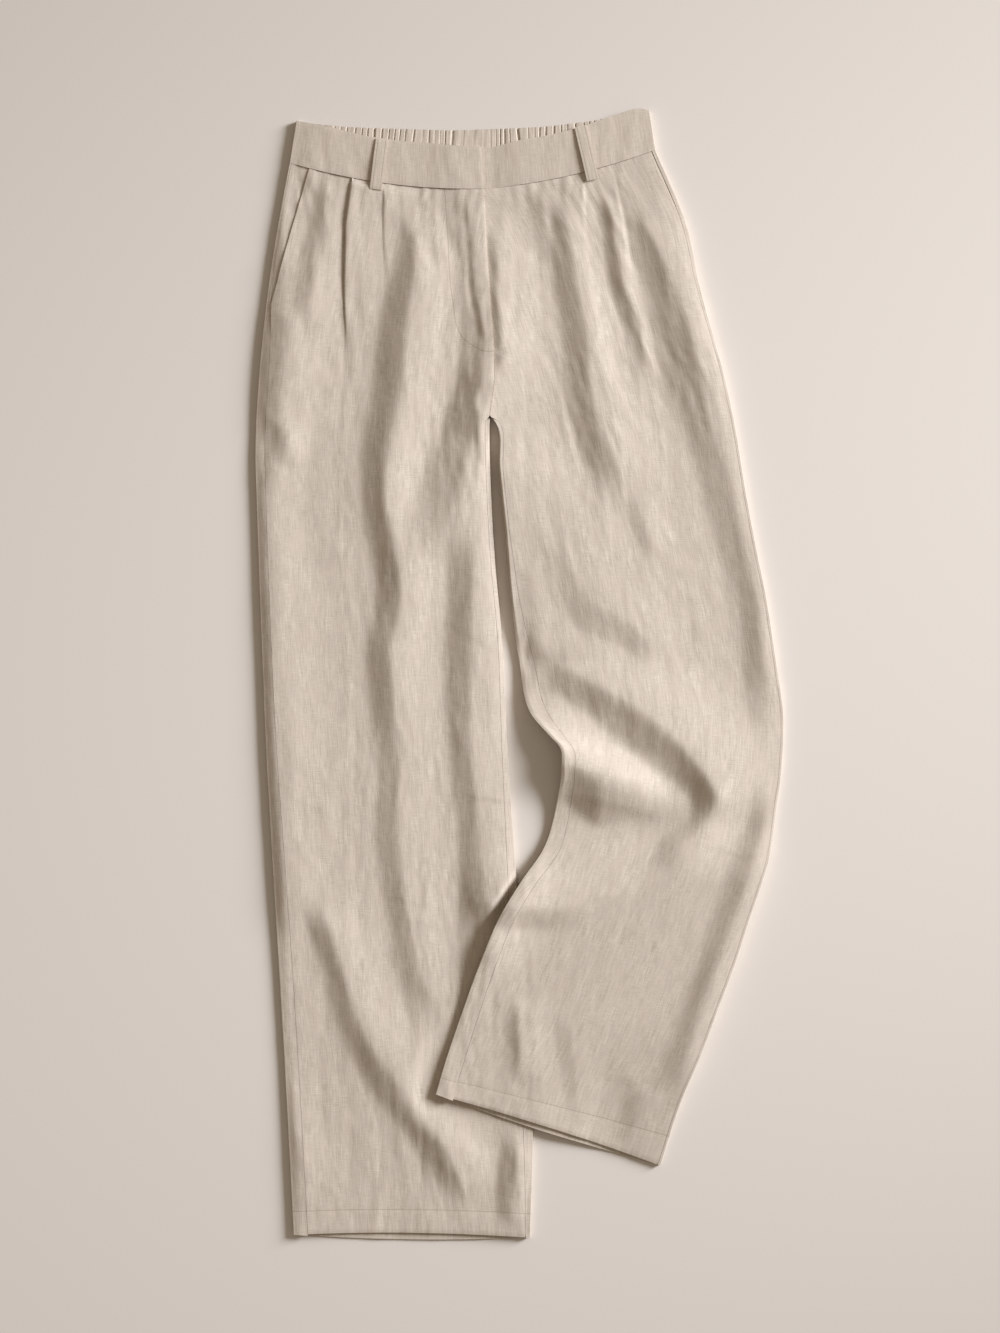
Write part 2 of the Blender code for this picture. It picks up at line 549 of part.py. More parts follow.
def back_band_grid():
    """The elasticated back band, gathered into small upright folds."""
    share = np.linspace(0.0, 1.0, 4 * GATHERS + 1)
    low_ends = []
    high_ends = []
    for leg, top_edge in ((RIGHT, RIGHT_BAND_TOP), (LEFT, LEFT_BAND_TOP)):
        x, _, width = leg.place(0.0, BAND_TURN + SEAM_GAP)
        low_ends.append(float(x[0]))
        end = along(top_edge, [(BAND_TURN + SEAM_GAP) / float(width[0])])
        high_ends.append(tuple(end[0]))
    high = along([high_ends[0]] + BACK_BAND_TOP + [high_ends[1]], share)
    low_x = low_ends[0] + (low_ends[1] - low_ends[0]) * share
    low_y = back_seam_y(low_x) + SEAM_GAP
    fold = 0.8 * (1.0 - np.cos(2.0 * math.pi * GATHERS * share))
    fold = fold * ease(share / 0.06) * ease((1.0 - share) / 0.06)
    rows = np.linspace(0.0, 1.0, 3)[:, None]
    x = low_x * (1.0 - rows) + high[:, 0] * rows
    y = low_y * (1.0 - rows) + high[:, 1] * rows
    return x, y, np.broadcast_to(CLOTH + fold, x.shape)


def back_seam_y(x):
    """The height of the back waist seam, the straight upper edge of each back."""
    seam_x = []
    seam_y = []
    for leg in (RIGHT, LEFT):
        _, _, width = leg.place(0.0, 0.0, lift=BACK_WAIST_LIFT)
        inward = np.asarray([0.0, float(width[0])])
        line_of_x, line_of_y, _ = leg.place(0.0, inward, 0.0, BACK_WAIST_LIFT)
        seam_x += list(line_of_x)
        seam_y += list(line_of_y)
    order = np.argsort(seam_x)
    return np.interp(x, np.asarray(seam_x)[order], np.asarray(seam_y)[order])


def make_waistband():
    """The front band in two halves, lapped like the fly, and the gathered back band."""
    grids = front_band_grid(RIGHT, RIGHT_BAND_TOP, under_lap=False)
    sheet("right_waistband", "waistband_linen", *turned_over(grids))
    grids = front_band_grid(LEFT, LEFT_BAND_TOP, under_lap=True)
    sheet("left_waistband", "waistband_linen", *grids)
    sheet("back_waistband", "waistband_linen", *turned_over(back_band_grid()))


def make_belt_loops():
    """The belt loops, folded strips from the band's upper edge to just below its seam."""
    for name, (upper, lower) in LOOPS.items():
        upper = np.asarray(upper)
        run = np.asarray(lower) - upper
        across = np.asarray([-run[1], run[0]]) / np.hypot(*run) * LOOP_WIDTH / 2.0
        share = np.linspace(0.0, 1.0, 9)[:, None]
        middle = upper + run * share
        lift = EDGE_HEIGHT + 0.35 + LOOP_CLOTH + 2.6 * ease(share / 0.35)
        sides = np.asarray([-1.0, 0.0, 1.0])
        x = middle[:, 0:1] + across[0] * sides
        y = middle[:, 1:2] + across[1] * sides
        crown = 0.25 * (1.0 - sides**2)
        sheet(name, "waistband_linen", x, y, lift + crown, LOOP_CLOTH)


# ---------------------------------------------------------------- the trousers
remove_everything()
PARTS = bpy.data.collections.new("pleated_linen_trousers")
bpy.context.scene.collection.children.link(PARTS)
make_fronts()
make_backs()
make_facings()
make_waistband()
make_belt_loops()
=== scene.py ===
# %% [markdown]
# # Pleated linen trousers, laid flat
#
# These trousers lie on their back on a plain pale floor, waist at the top.  The wearer's right
# leg lies straight and the left leg bends at the knee and crosses over it.  The cloth is a
# plain-weave linen: it is thin, it holds soft crumples, and its big folds cast the shadows that
# give the garment its shape.  This first cell loads the frame, which is the garment's solids at
# their real size, and bakes each solid's place into its own mesh.

import math
from collections import namedtuple

import bpy
import numpy as np
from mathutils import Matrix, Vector


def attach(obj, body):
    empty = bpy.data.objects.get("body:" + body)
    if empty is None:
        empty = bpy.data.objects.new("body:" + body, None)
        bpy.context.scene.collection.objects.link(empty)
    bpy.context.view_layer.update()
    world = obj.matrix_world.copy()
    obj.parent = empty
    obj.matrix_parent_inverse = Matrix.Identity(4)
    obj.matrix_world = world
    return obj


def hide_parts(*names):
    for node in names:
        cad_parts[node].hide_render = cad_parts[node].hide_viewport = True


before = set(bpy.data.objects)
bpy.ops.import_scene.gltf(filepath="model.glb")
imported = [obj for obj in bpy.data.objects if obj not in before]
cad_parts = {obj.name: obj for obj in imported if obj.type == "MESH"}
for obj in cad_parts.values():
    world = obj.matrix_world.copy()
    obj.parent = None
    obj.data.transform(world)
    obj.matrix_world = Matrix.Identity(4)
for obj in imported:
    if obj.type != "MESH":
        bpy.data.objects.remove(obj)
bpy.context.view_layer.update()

# %% [markdown]
# ## Curves and easing
#
# A garment is drafted from a few measured points joined by smooth lines.  These helpers do the
# same: `curve_at` reads a smooth curve through a table's rows, `along` walks along such a curve,
# and `ease` blends from one thing into another with no visible corner.  All sizes are in
# millimetres until a mesh is made, because a cutter thinks in millimetres.


# %% Curves and easing
LINE_POINTS = 60  # read from a smooth line wherever its place or its distance is needed


def ease(x):
    """Rise from 0 to 1 as x goes from 0 to 1, level at both ends."""
    x = np.clip(x, 0.0, 1.0)
    return x * x * (3.0 - 2.0 * x)


def grow(start, share):
    """From a start value up to 1 as the share goes from 0 to 1."""
    return start + (1.0 - start) * share


def bump_at(distance, reach):
    """A soft bump of height 1 that has died out about three reaches away."""
    return np.exp(-((distance / reach) ** 2))


def curve_at(knots, values, at):
    """Read a smooth curve through values at the knots, one column for each quantity."""
    slopes = np.gradient(values, knots, axis=0)
    cell = np.clip(np.searchsorted(knots, at, side="right") - 1, 0, len(knots) - 2)
    length = (knots[cell + 1] - knots[cell])[:, None]
    t = (at - knots[cell])[:, None] / length
    start = values[cell] * (2 * t**3 - 3 * t**2 + 1)
    start = start + slopes[cell] * length * (t**3 - 2 * t**2 + t)
    end = values[cell + 1] * (3 * t**2 - 2 * t**3)
    return start + end + slopes[cell + 1] * length * (t**3 - t**2)


def along(points, fractions):
    """Points at the given fractions of the length of a smooth curve through the points."""
    points = np.asarray(points, dtype=float)
    steps = np.linalg.norm(np.diff(points, axis=0), axis=1)
    knots = np.concatenate([[0.0], np.cumsum(steps)])
    return curve_at(knots, points, np.asarray(fractions, dtype=float) * knots[-1])


def line_x(points, y):
    """The x of a line that runs down the cloth, at the height y."""
    table = along(points, np.linspace(0.0, 1.0, LINE_POINTS))[::-1]
    return np.interp(y, table[:, 1], table[:, 0])


print("a quarter of the way along, ease has risen to", float(ease(0.25)))

# %% [markdown]
# ## The cut
#
# Each leg with its half of the seat is one long shape.  A row of the table is one section
# across it, from the waist seam down to the hem, in millimetres.  It says where the section
# meets the outer and the inner edge of the laid leg, and how far in from each edge the seam
# lies, because the back panel rolls round the edges and the seams show on top.  Then it says
# how far the section's middle hangs below its ends, how much the middle of the leg puffs up,
# how high a soft roll of cloth stands behind each edge, and how high each edge itself is.

# %% The cut
Station = namedtuple(
    "Station", "outer_x outer_y inner_x inner_y outer_seam inner_seam sag puff outer_roll "
    "inner_roll outer_edge inner_edge"
)
RIGHT_LEG = [
    Station(-218.5, 485.5, -34.2, 460.8, 1.5, 0.0, 7.1, 2.5, 0.5, 0.0, 4.6, 5.6),
    Station(-225.2, 451.3, -32.0, 413.3, 1.5, 0.0, 3.0, 2.5, 1.2, 0.0, 5.0, 5.6),
    Station(-235.6, 389.5, -29.0, 365.8, 1.5, 0.0, 0.0, 2.5, 3.0, 0.0, 4.7, 5.6),
    Station(-242.3, 337.3, -25.5, 318.3, 6.0, 0.0, 0.0, 2.5, 4.0, 0.0, 4.5, 5.6),
    Station(-247.0, 290.0, -24.0, 280.0, 9.0, 0.0, 0.0, 2.5, 4.2, 0.0, 4.4, 5.6),
    Station(-250.2, 242.0, -28.6, 246.0, 9.0, 0.0, 0.0, 2.5, 4.0, 0.0, 4.3, 5.6),
    Station(-250.8, 228.0, -28.9, 239.5, 9.0, 4.0, 0.0, 2.5, 3.8, 0.0, 4.3, 5.4),
    Station(-249.9, 166.3, -27.6, 175.8, 9.0, 4.0, 0.0, 2.0, 3.0, 0.5, 4.2, 5.0),
    Station(-248.0, 109.3, -24.2, 114.0, 9.0, 4.0, 0.0, 1.8, 2.8, 0.5, 4.2, 5.0),
    Station(-245.1, 33.3, -17.1, 33.3, 9.0, 4.0, 0.0, 1.8, 2.8, 0.4, 4.2, 5.6),
    Station(-241.3, -61.8, -12.4, -61.8, 10.0, 5.0, 0.0, 1.6, 2.8, 0.4, 4.2, 6.2),
    Station(-236.6, -147.3, -6.7, -147.3, 11.4, 7.0, 0.0, 1.2, 2.9, 0.4, 4.1, 6.0),
    Station(-230.9, -242.3, 0.0, -242.3, 12.5, 9.0, 0.0, 0.8, 2.9, 0.4, 4.2, 5.0),
    Station(-225.2, -337.3, 6.7, -337.3, 13.0, 9.5, 0.0, 0.6, 2.6, 0.4, 4.0, 4.8),
    Station(-220.4, -422.8, 11.9, -422.8, 13.3, 9.5, 0.0, 0.6, 2.5, 0.4, 4.0, 4.8),
    Station(-214.7, -531.1, 9.5, -533.9, 13.3, 4.0, -3.2, 0.6, 2.5, 0.3, 3.8, 4.2),
]
LEFT_LEG = [
    Station(128.3, 497.8, -34.2, 460.8, 3.5, 0.0, 5.7, 2.5, 0.4, 0.0, 4.8, 5.6),
    Station(157.7, 427.5, -32.0, 413.3, 4.0, 0.0, 2.4, 2.5, 0.2, 0.0, 4.8, 5.6),
    Station(169.7, 371.0, -29.0, 365.8, 3.2, 0.0, 0.0, 2.5, 0.0, 0.0, 5.0, 5.6),
    Station(183.4, 320.0, -25.5, 318.3, 2.4, 0.0, 0.0, 2.5, 0.0, 0.0, 5.2, 5.6),
    Station(193.7, 283.0, -24.0, 280.0, 2.4, 0.0, 0.0, 2.0, 0.0, 0.0, 5.2, 5.6),
    Station(202.3, 243.0, -28.6, 246.0, 2.4, 0.0, 0.0, 1.5, 0.0, 0.0, 5.2, 5.6),
    Station(204.3, 232.8, -23.6, 239.5, 2.4, 4.0, 0.0, 1.5, 0.0, 0.0, 5.2, 5.6),
    Station(212.8, 180.5, -20.0, 194.8, 2.4, 4.0, 0.0, 0.8, 0.0, 1.0, 5.2, 8.4),
    Station(222.3, 128.3, -14.3, 137.8, 2.4, 4.0, 0.0, 0.5, 0.0, 1.2, 5.2, 8.6),
    Station(233.7, 71.3, -8.6, 71.3, 2.4, 8.0, 0.0, 0.5, 0.0, 1.0, 5.2, 6.8),
    Station(243.2, 9.5, -1.0, 14.3, 2.4, 14.0, 0.0, 1.0, 0.0, 0.8, 5.0, 3.6),
    Station(249.9, -44.7, 10.5, -37.1, 2.4, 17.0, 0.0, 1.5, 0.0, 0.8, 5.0, 5.0),
    Station(248.9, -76.0, 26.6, -56.1, 2.4, 15.0, 0.0, 2.0, 0.0, 1.0, 4.8, 7.2),
    Station(247.0, -99.8, 38.0, -69.4, 2.4, 13.0, 0.0, 2.0, 0.0, 1.0, 4.6, 8.2),
    Station(243.2, -124.5, 39.0, -85.5, 2.4, 13.0, 0.0, 2.0, 0.0, 1.0, 4.8, 8.0),
    Station(237.5, -166.3, 36.1, -114.0, 2.4, 13.0, 0.0, 1.5, 0.0, 0.6, 4.8, 6.0),
    Station(228.0, -199.5, 23.8, -161.5, 2.4, 15.0, 0.0, 1.2, 0.0, 0.5, 4.8, 3.6),
    Station(216.6, -232.8, 0.0, -196.7, 2.4, 14.0, 0.0, 1.0, 0.0, 0.5, 4.6, 4.2),
    Station(204.3, -270.8, -19.0, -228.0, 2.4, 14.0, 0.0, 1.0, 0.0, 0.5, 4.6, 3.8),
    Station(189.1, -311.6, -38.0, -272.7, 2.4, 15.0, 0.0, 1.0, 0.0, 0.5, 4.6, 3.5),
    Station(171.0, -360.1, -55.1, -320.2, 2.4, 16.0, 0.0, 1.0, 0.0, 0.5, 4.4, 3.4),
    Station(152.0, -405.7, -69.4, -362.0, 2.4, 17.0, 0.0, 1.0, 0.0, 0.5, 4.2, 3.3),
    Station(133.0, -465.5, -79.8, -397.1, 2.4, 17.0, -2.7, 1.0, 0.0, 0.5, 2.8, 3.2),
]
LEFT_SHIN_ROW = 16  # from this row on, the left leg's inner edge is near or on the right leg
# The seam under the waistband, from the wearer's right side to the left one.
WAIST_SEAM = [(-218.5, 485.5), (-170, 475.0), (-127, 466.3), (-80, 461.5), (-34, 460.8),
              (10, 465.5), (59.6, 476.9), (128.2, 497.8)]
print("sections:", len(RIGHT_LEG), "of the right leg,", len(LEFT_LEG), "of the left leg")

# %% [markdown]
# ## The folds
#
# Laid linen falls into a few large folds and many small ones.  A fold here is a steep flank
# along a route: the cloth is high on the left of the direction of travel and low on the right,
# and each side eases back to the panel's height over its own tail.  Real folds are never
# symmetrical, which is why the two tails differ.  This table holds the large folds, and the
# solids have most of them too, in a plainer form.

# %% The large folds
Fold = namedtuple("Fold", "high_tail low_tail route")
# Each point of a route: x, y, half the flank's width, half its rise.
LARGE_FOLDS = [
    Fold(17, 26, [(-185, 486, 7, 0.9), (-191, 450, 9, 1.4), (-199, 405, 10, 1.6), (-205, 365, 10, 1.5),
                  (-214, 325, 10, 0.8)]),
    Fold(23, 50, [(-108, 462, 9, 1.2), (-106, 428, 11, 2.5), (-110, 390, 13, 2.6), (-119, 345, 16, 3.0),
                  (-125, 305, 18, 3.3), (-129, 265, 18, 3.4), (-139, 225, 20, 4.4),
                  (-144, 190, 20, 4.9), (-142, 150, 20, 4.9), (-135, 120, 20, 4.5), (-129, 90, 19, 4.0),
                  (-130, 60, 18, 3.3), (-137, 25, 16, 2.9), (-134, -8, 16, 2.9), (-131, -45, 15, 2.4),
                  (-129, -85, 14, 1.5), (-128, -115, 13, 0.7)]),
    Fold(22, 36, [(-43, 450, 14, 0.4), (-41, 410, 16, 0.5), (-40, 355, 18, 0.8), (-44, 310, 17, 2.0),
                  (-49, 276, 15, 2.6), (-56, 250, 15, 3.0), (-62, 225, 19, 3.2), (-70, 200, 23, 3.6),
                  (-79, 176, 24, 3.3), (-88, 150, 22, 2.6), (-96, 118, 20, 1.8), (-102, 82, 18, 1.0)]),
    Fold(22, 39, [(-50, 165, 15, 1.4), (-55, 115, 15, 2.1), (-58, 60, 15, 2.4), (-60, 0, 15, 2.2),
                  (-60, -45, 14, 1.9), (-55, -95, 13, 1.7), (-50, -140, 13, 1.6), (-47, -180, 13, 1.6),
                  (-48, -215, 13, 1.6), (-53, -250, 14, 1.7), (-62, -280, 13, 0.8)]),
    Fold(22, 39, [(-121, -35, 12, 0.5), (-122, -70, 12, 0.9), (-125, -100, 12, 1.3),
                  (-127, -130, 13, 1.5), (-124, -185, 14, 1.5), (-116, -235, 14, 1.9),
                  (-109, -280, 14, 1.7), (-97, -310, 15, 1.4), (-89, -350, 15, 1.0)]),
    Fold(26, 50, [(-204, -200, 10, 0.9), (-192, -240, 12, 2.5), (-178, -285, 13, 2.9),
                  (-169, -325, 16, 3.1), (-152, -365, 19, 3.4), (-129, -400, 22, 3.7),
                  (-103, -433, 22, 3.8), (-82, -465, 20, 4.0), (-66, -494, 17, 3.9),
                  (-56, -525, 13, 2.3)]),
    Fold(13, 32, [(-12, -415, 9, 1.2), (-11, -450, 10, 2.1), (-15, -490, 11, 2.4),
                  (-21, -525, 11, 1.9)]),
    Fold(18, 19, [(11, 470, 6, 0.6), (15, 445, 8, 1.0), (20, 415, 9, 0.9), (25, 382, 9, 0.4)]),
    Fold(26, 30, [(35, 472, 6, 0.5), (37, 438, 8, 1.3), (39, 403, 12, 2.2), (43, 368, 15, 2.8),
                  (50, 330, 16, 2.8), (54, 295, 16, 3.0), (57, 260, 16, 2.5), (66, 228, 17, 2.5),
                  (78, 195, 18, 2.3), (90, 155, 16, 1.0)]),
    Fold(16, 26, [(73, 462, 6, 0.8), (80, 438, 7, 1.4), (86, 400, 8, 2.0), (92, 370, 9, 2.0),
                  (103, 335, 9, 1.8), (111, 300, 9, 1.4), (118, 270, 9, 0.6)]),
    Fold(60, 48, [(95, 484, 7, 0.7), (102, 455, 8, 1.5), (112, 420, 12, 2.3), (128, 378, 17, 3.0),
                  (143, 328, 21, 3.5), (155, 283, 21, 3.2), (167, 240, 18, 2.2), (183, 188, 18, 1.9),
                  (200, 128, 17, 2.0), (214, 75, 14, 1.9), (220, 10, 14, 1.9), (227, -42, 12, 1.5),
                  (236, -74, 9, 0.5)]),
    Fold(22, 29, [(31, 135, 10, 0.5), (36, 102, 14, 0.9), (46, 78, 17, 1.1), (62, 57, 18, 1.5),
                  (92, 41, 14, 1.5), (113, 27, 13, 1.3), (127, 8, 9, 0.8)]),
    Fold(16, 16, [(2, 108, 8, 0.6), (7, 55, 10, 0.6), (14, 18, 11, 1.2), (26, 4, 11, 1.0)]),
    Fold(33, 48, [(6, 6, 16, 1.8), (26, -5, 19, 3.0), (46, -16, 22, 4.2), (66, -28, 23, 4.9),
                  (94, -45, 23, 4.9), (122, -64, 22, 4.6), (146, -85, 20, 4.4), (164, -108, 20, 4.8),
                  (176, -130, 19, 3.2), (183, -150, 17, 0.8)]),
    Fold(18, 24, [(180, -92, 12, 0.8), (174, -114, 15, 2.2), (162, -134, 17, 3.2), (144, -148, 17, 2.8),
                  (120, -157, 15, 1.5), (98, -166, 13, 0.6)]),
    Fold(24, 44, [(20, -126, 16, 2.2), (46, -130, 20, 3.9), (66, -133, 21, 4.2), (88, -138, 20, 3.5),
                  (110, -143, 19, 3.0), (132, -148, 18, 2.6), (154, -155, 15, 1.1)]),
    Fold(44, 14, [(64, -86, 16, 0.9), (62, -106, 20, 2.6), (58, -127, 21, 3.3), (53, -149, 19, 1.9),
                  (47, -171, 16, 0.6)]),
    Fold(31, 35, [(-60, -226, 18, 2.8), (-22, -234, 20, 4.4), (15, -237, 20, 4.4), (40, -235, 18, 3.2),
                  (70, -226, 16, 2.3), (100, -213, 13, 1.6), (130, -196, 11, 0.7)]),
    Fold(32, 39, [(240, -100, 9, 1.5), (226, -136, 11, 2.0), (212, -172, 12, 2.0), (199, -207, 13, 2.0),
                  (186, -243, 13, 2.0), (172, -283, 12, 2.2), (157, -327, 13, 1.8),
                  (142, -372, 15, 1.7), (128, -414, 15, 1.1)]),
    Fold(17, 23, [(-10, -300, 10, 0.7), (-9, -345, 11, 1.7), (-9, -388, 10, 0.8)]),
    Fold(17, 23, [(111, -385, 11, 0.7), (102, -415, 12, 1.6), (94, -450, 11, 1.0)]),
]
print("large folds:", len(LARGE_FOLDS))

# %% [markdown]
# Small folds are the short creases between the large ones: beside the fly, at the crotch and
# the hip, on the left thigh and shin, and above the right hem.  They are one to three
# millimetres from top to bottom.

# %% The small folds
SMALL_FOLDS = [
    Fold(11, 20, [(-54, 466, 2.6, 0.4), (-51, 440, 2.6, 0.6), (-48, 405, 2.8, 0.6),
                  (-45, 368, 2.8, 0.5), (-39, 335, 2.6, 0.4), (-34, 306, 2.6, 0.2)]),
    Fold(16, 30, [(-28, 425, 5, 0.5), (-26, 385, 6, 1.0), (-24, 345, 6, 1.2), (-21, 300, 6, 0.9),
                  (-20, 282, 5, 0.4)]),
    Fold(9, 16, [(-41, 258, 3, 0.4), (-41, 228, 3, 0.7), (-37, 196, 3, 0.4)]),
    Fold(11, 16, [(-105, -465, 7, 0.6), (-103, -500, 8, 1.1), (-102, -528, 7, 0.7)]),
    Fold(11, 16, [(-148, -425, 8, 0.5), (-145, -450, 9, 0.9), (-142, -470, 8, 0.4)]),
    Fold(11, 16, [(104, 170, 8, 0.5), (112, 140, 8, 0.8), (124, 108, 8, 0.4)]),
    Fold(17, 16, [(38, -320, 9, 0.4), (43, -360, 9, 0.7), (48, -400, 8, 0.8), (51, -430, 8, 0.6)]),
    Fold(9, 16, [(-229, 240, 8, 0.6), (-228, 222, 8, 1.2), (-224, 196, 8, 0.5)]),
]
print("small folds:", len(SMALL_FOLDS))

# %% [markdown]
# A fold's height at a point depends on the nearest part of its route.  The route is read as a
# fine chain of straight pieces.  Taking only the nearest piece would leave a jump inside a bend,
# where two pieces are equally near, so the near pieces share the point, and the sharing grows
# softer with the distance.


# %% The height of a fold
STEEPER = 1.28  # all folds rise this many times what the tables say
PLACES_A_POINT = 4  # places read along a route for each of its points
TAILS_OUT = 3.2  # a fold has died out at this many tails beyond its flank
END_FADE = 0.15  # share of the route over which a fold grows from nothing at each end
LEAST_BLUR = 0.3  # mm by which a piece may be further off than the nearest and still count
ROUTE_BLUR = 0.12  # and how much more, as a share of the distance


def to_pieces(line, x, y):
    """Distance from each point to each piece of a fine route, its side and its place along."""
    start_x, start_y = line[:-1, 0:1], line[:-1, 1:2]
    run_x, run_y = line[1:, 0:1] - start_x, line[1:, 1:2] - start_y
    t = ((x - start_x) * run_x + (y - start_y) * run_y) / (run_x**2 + run_y**2)
    t = np.clip(t, 0.0, 1.0)
    off_x = x - start_x - t * run_x
    off_y = y - start_y - t * run_y
    place = (np.arange(len(t))[:, None] + t) / len(t)
    return np.hypot(off_x, off_y), run_x * off_y - run_y * off_x, place


def fold_height(fold, x, y):
    """What one fold adds to the height at the points (x, y)."""
    points = np.asarray(fold.route, dtype=float)
    line = along(points[:, 0:2], np.linspace(0.0, 1.0, PLACES_A_POINT * len(points)))
    steps = np.linalg.norm(np.diff(points[:, 0:2], axis=0), axis=1)
    knots = np.concatenate([[0.0], np.cumsum(steps)]) / steps.sum()
    reach = points[:, 2].max() + TAILS_OUT * max(fold.high_tail, fold.low_tail)
    left, bottom = line.min(axis=0) - reach
    right, top = line.max(axis=0) + reach
    near = (x > left) & (x < right) & (y > bottom) & (y < top)
    apart, side, place = to_pieces(line, x[near], y[near])
    half_width = np.interp(place, knots, points[:, 2])
    half_rise = np.interp(place, knots, points[:, 3])
    across = np.minimum(apart / half_width, 1.0)
    # The flank is steepest at the route and runs out level at its two ends.
    flank = across * (1.25 - 0.25 * across**4)
    tail = np.where(side > 0, fold.high_tail, fold.low_tail)
    beyond = np.maximum(apart - half_width, 0.0) / tail
    fade = ease(place / END_FADE) * ease((1.0 - place) / END_FADE)
    raised = STEEPER * half_rise * fade * np.sign(side) * flank * np.exp(-(beyond**2) / 2.0)
    closest = apart.min(axis=0)
    nearness = np.exp((closest - apart) / (LEAST_BLUR + ROUTE_BLUR * closest))
    height = np.zeros(x.shape)
    height[near] = (nearness * raised).sum(axis=0) / nearness.sum(axis=0)
    return height


thigh = fold_height(LARGE_FOLDS[1], np.asarray([-120.0, -168.0]), np.asarray([190.0, 190.0]))
print("the thigh's fold goes from", round(thigh[0], 1), "down to", round(thigh[1], 1), "mm")

# %% [markdown]
# ## Crumple
#
# Between its folds linen is never smooth: the stiff, uneven flax yarn keeps shallow crumples
# that run mostly along the legs.  They come from gradient noise, which is a field of random
# slopes joined smoothly.  The noise is hashed from whole numbers, so that it is the same each
# time, and it is stretched along the leg, because warp creases are longer than weft ones.


# %% Crumple
def hash_angle(ix, iy, seed):
    """A fixed pseudo-random angle for each corner of the noise's grid."""
    h = (ix * 374761393 + iy * 668265263 + seed * 2147483647) & 0xFFFFFFFF
    h = ((h ^ (h >> 13)) * 1274126177) & 0xFFFFFFFF
    h = h ^ (h >> 16)
    return (h & 0xFFFFFF) / float(0x1000000) * 2.0 * math.pi


def noise(x, y, seed):
    """Gradient noise of about -1 to 1, one bump to each unit of x and y."""
    ix = np.floor(x).astype(np.int64)
    iy = np.floor(y).astype(np.int64)
    fx = x - ix
    fy = y - iy
    total = np.zeros(np.shape(x))
    for corner_x in (0, 1):
        for corner_y in (0, 1):
            angle = hash_angle(ix + corner_x, iy + corner_y, seed)
            slope = np.cos(angle) * (fx - corner_x) + np.sin(angle) * (fy - corner_y)
            weight_x = ease(fx) if corner_x else 1.0 - ease(fx)
            weight_y = ease(fy) if corner_y else 1.0 - ease(fy)
            total = total + slope * weight_x * weight_y
    return 1.5 * total


# Width, length and height in mm of the long creases, the short creases and the small dents.
CREASES = [(13.0, 62.0, 0.68), (7.0, 24.0, 0.36), (9.0, 11.0, 0.14)]
SHARP_CREASES = (10.0, 34.0, 0.22)  # the same for thin raised ridges


def crumple(inward, down, seed):
    """Shallow creases of laid linen, in mm, from places across and along the leg."""
    across = inward + 6.0 * noise(inward / 60.0, down / 90.0, seed + 5)
    height = 0.0
    for number, (width, length, strength) in enumerate(CREASES):
        height = height + strength * noise(across / width, down / length, seed + number)
    width, length, strength = SHARP_CREASES
    height = height + strength * (1.0 - 2.0 * np.abs(noise(across / width, down / length, seed + 3)))
    calm = 0.55 + 0.45 * noise(inward / 70.0, down / 110.0, seed + 4)
    return calm * height


patch = crumple(*np.meshgrid(np.arange(0.0, 200.0, 4.0), np.arange(0.0, 300.0, 4.0)), 11)
print("crumples reach from", round(patch.min(), 1), "to", round(patch.max(), 1), "mm")

# %% [markdown]
# ## Where the legs cross
#
# The left shin lies over the right leg.  Under it the right leg is pressed flat, and the left
# leg climbs over it.  A shin is a hollow tube, so beyond the right leg its top doesn't fall to
# the floor: it stays level, and only the hem comes down.  Three soft lifts and one hollow shape
# the cloth where it bunches inside the bent knee and where it climbs onto the other leg.


# %% Where the legs cross
PRESSED_HEIGHT = 4.3  # the right leg under the left one
CROSSING_HEIGHT = 4.9  # how far the right leg lifts what lies on it
CROSSING_DRAPE = 80.0  # past the right leg's edge the cloth comes down over this distance
CROSSING_TOP = -138.0  # the legs begin to cross below this y
CROSSING_RUN = 60.0  # and lie fully on each other this far below it
SHIN_TILT = 0.008  # slope of the shin's top, which is highest at its outer edge
HEM_RUN = 130.0  # the shin's top comes down over this distance above its hem
PRESS_REACH = 13.0  # how far beside the shin the right leg rises again
PRESS_REACH_MORE = 27.0  # and how much further near the hem, where less bears on it
PRESS_REACH_BELOW = 44.0  # how far below the left hem it rises again
Lift = namedtuple("Lift", "x y height reach_along reach_across heading")
# Where the left leg's inner edge stands clear of what is under it: at the knee's inner bend,
# where the cloth bunches, and where the leg climbs over the other one.
LIFTS = [Lift(14.0, -78.0, 12.5, 42.0, 56.0, -60.0), Lift(-30.0, -250.0, 7.0, 44.0, 28.0, 65.0)]
# The roll of slack cloth that points outwards from the knee's inner bend.
THUMB = Lift(92.0, -97.0, 7.0, 64.0, 22.0, -24.0)
# Where the front has sunk onto the back, inside the knee's bend.
HOLLOW = Lift(95.0, -134.0, -2.6, 52.0, 24.0, -12.0)


def lift_at(lift, x, y):
    """How much a lift adds at the points (x, y)."""
    heading = math.radians(lift.heading)
    along_it = (x - lift.x) * math.cos(heading) + (y - lift.y) * math.sin(heading)
    across_it = (y - lift.y) * math.cos(heading) - (x - lift.x) * math.sin(heading)
    away = (along_it / lift.reach_along) ** 2 + (across_it / lift.reach_across) ** 2
    return lift.height * np.exp(-away)


def past_right_leg(x, y):
    """How far a point lies past the right leg's inner edge."""
    inner = np.asarray([(row.inner_y, row.inner_x) for row in RIGHT_LEG])[::-1]
    return x - np.interp(y, inner[:, 0], inner[:, 1])


def left_hem_y(x):
    """The y of the left leg's slanted hem line."""
    inner_x, inner_y = LEFT_LEG[-1].inner_x, LEFT_LEG[-1].inner_y
    slope = (LEFT_LEG[-1].outer_y - inner_y) / (LEFT_LEG[-1].outer_x - inner_x)
    return inner_y + slope * (x - inner_x)


def crossed(y):
    """0 above the place where the legs cross, 1 below it."""
    return ease((CROSSING_TOP - y) / CROSSING_RUN)


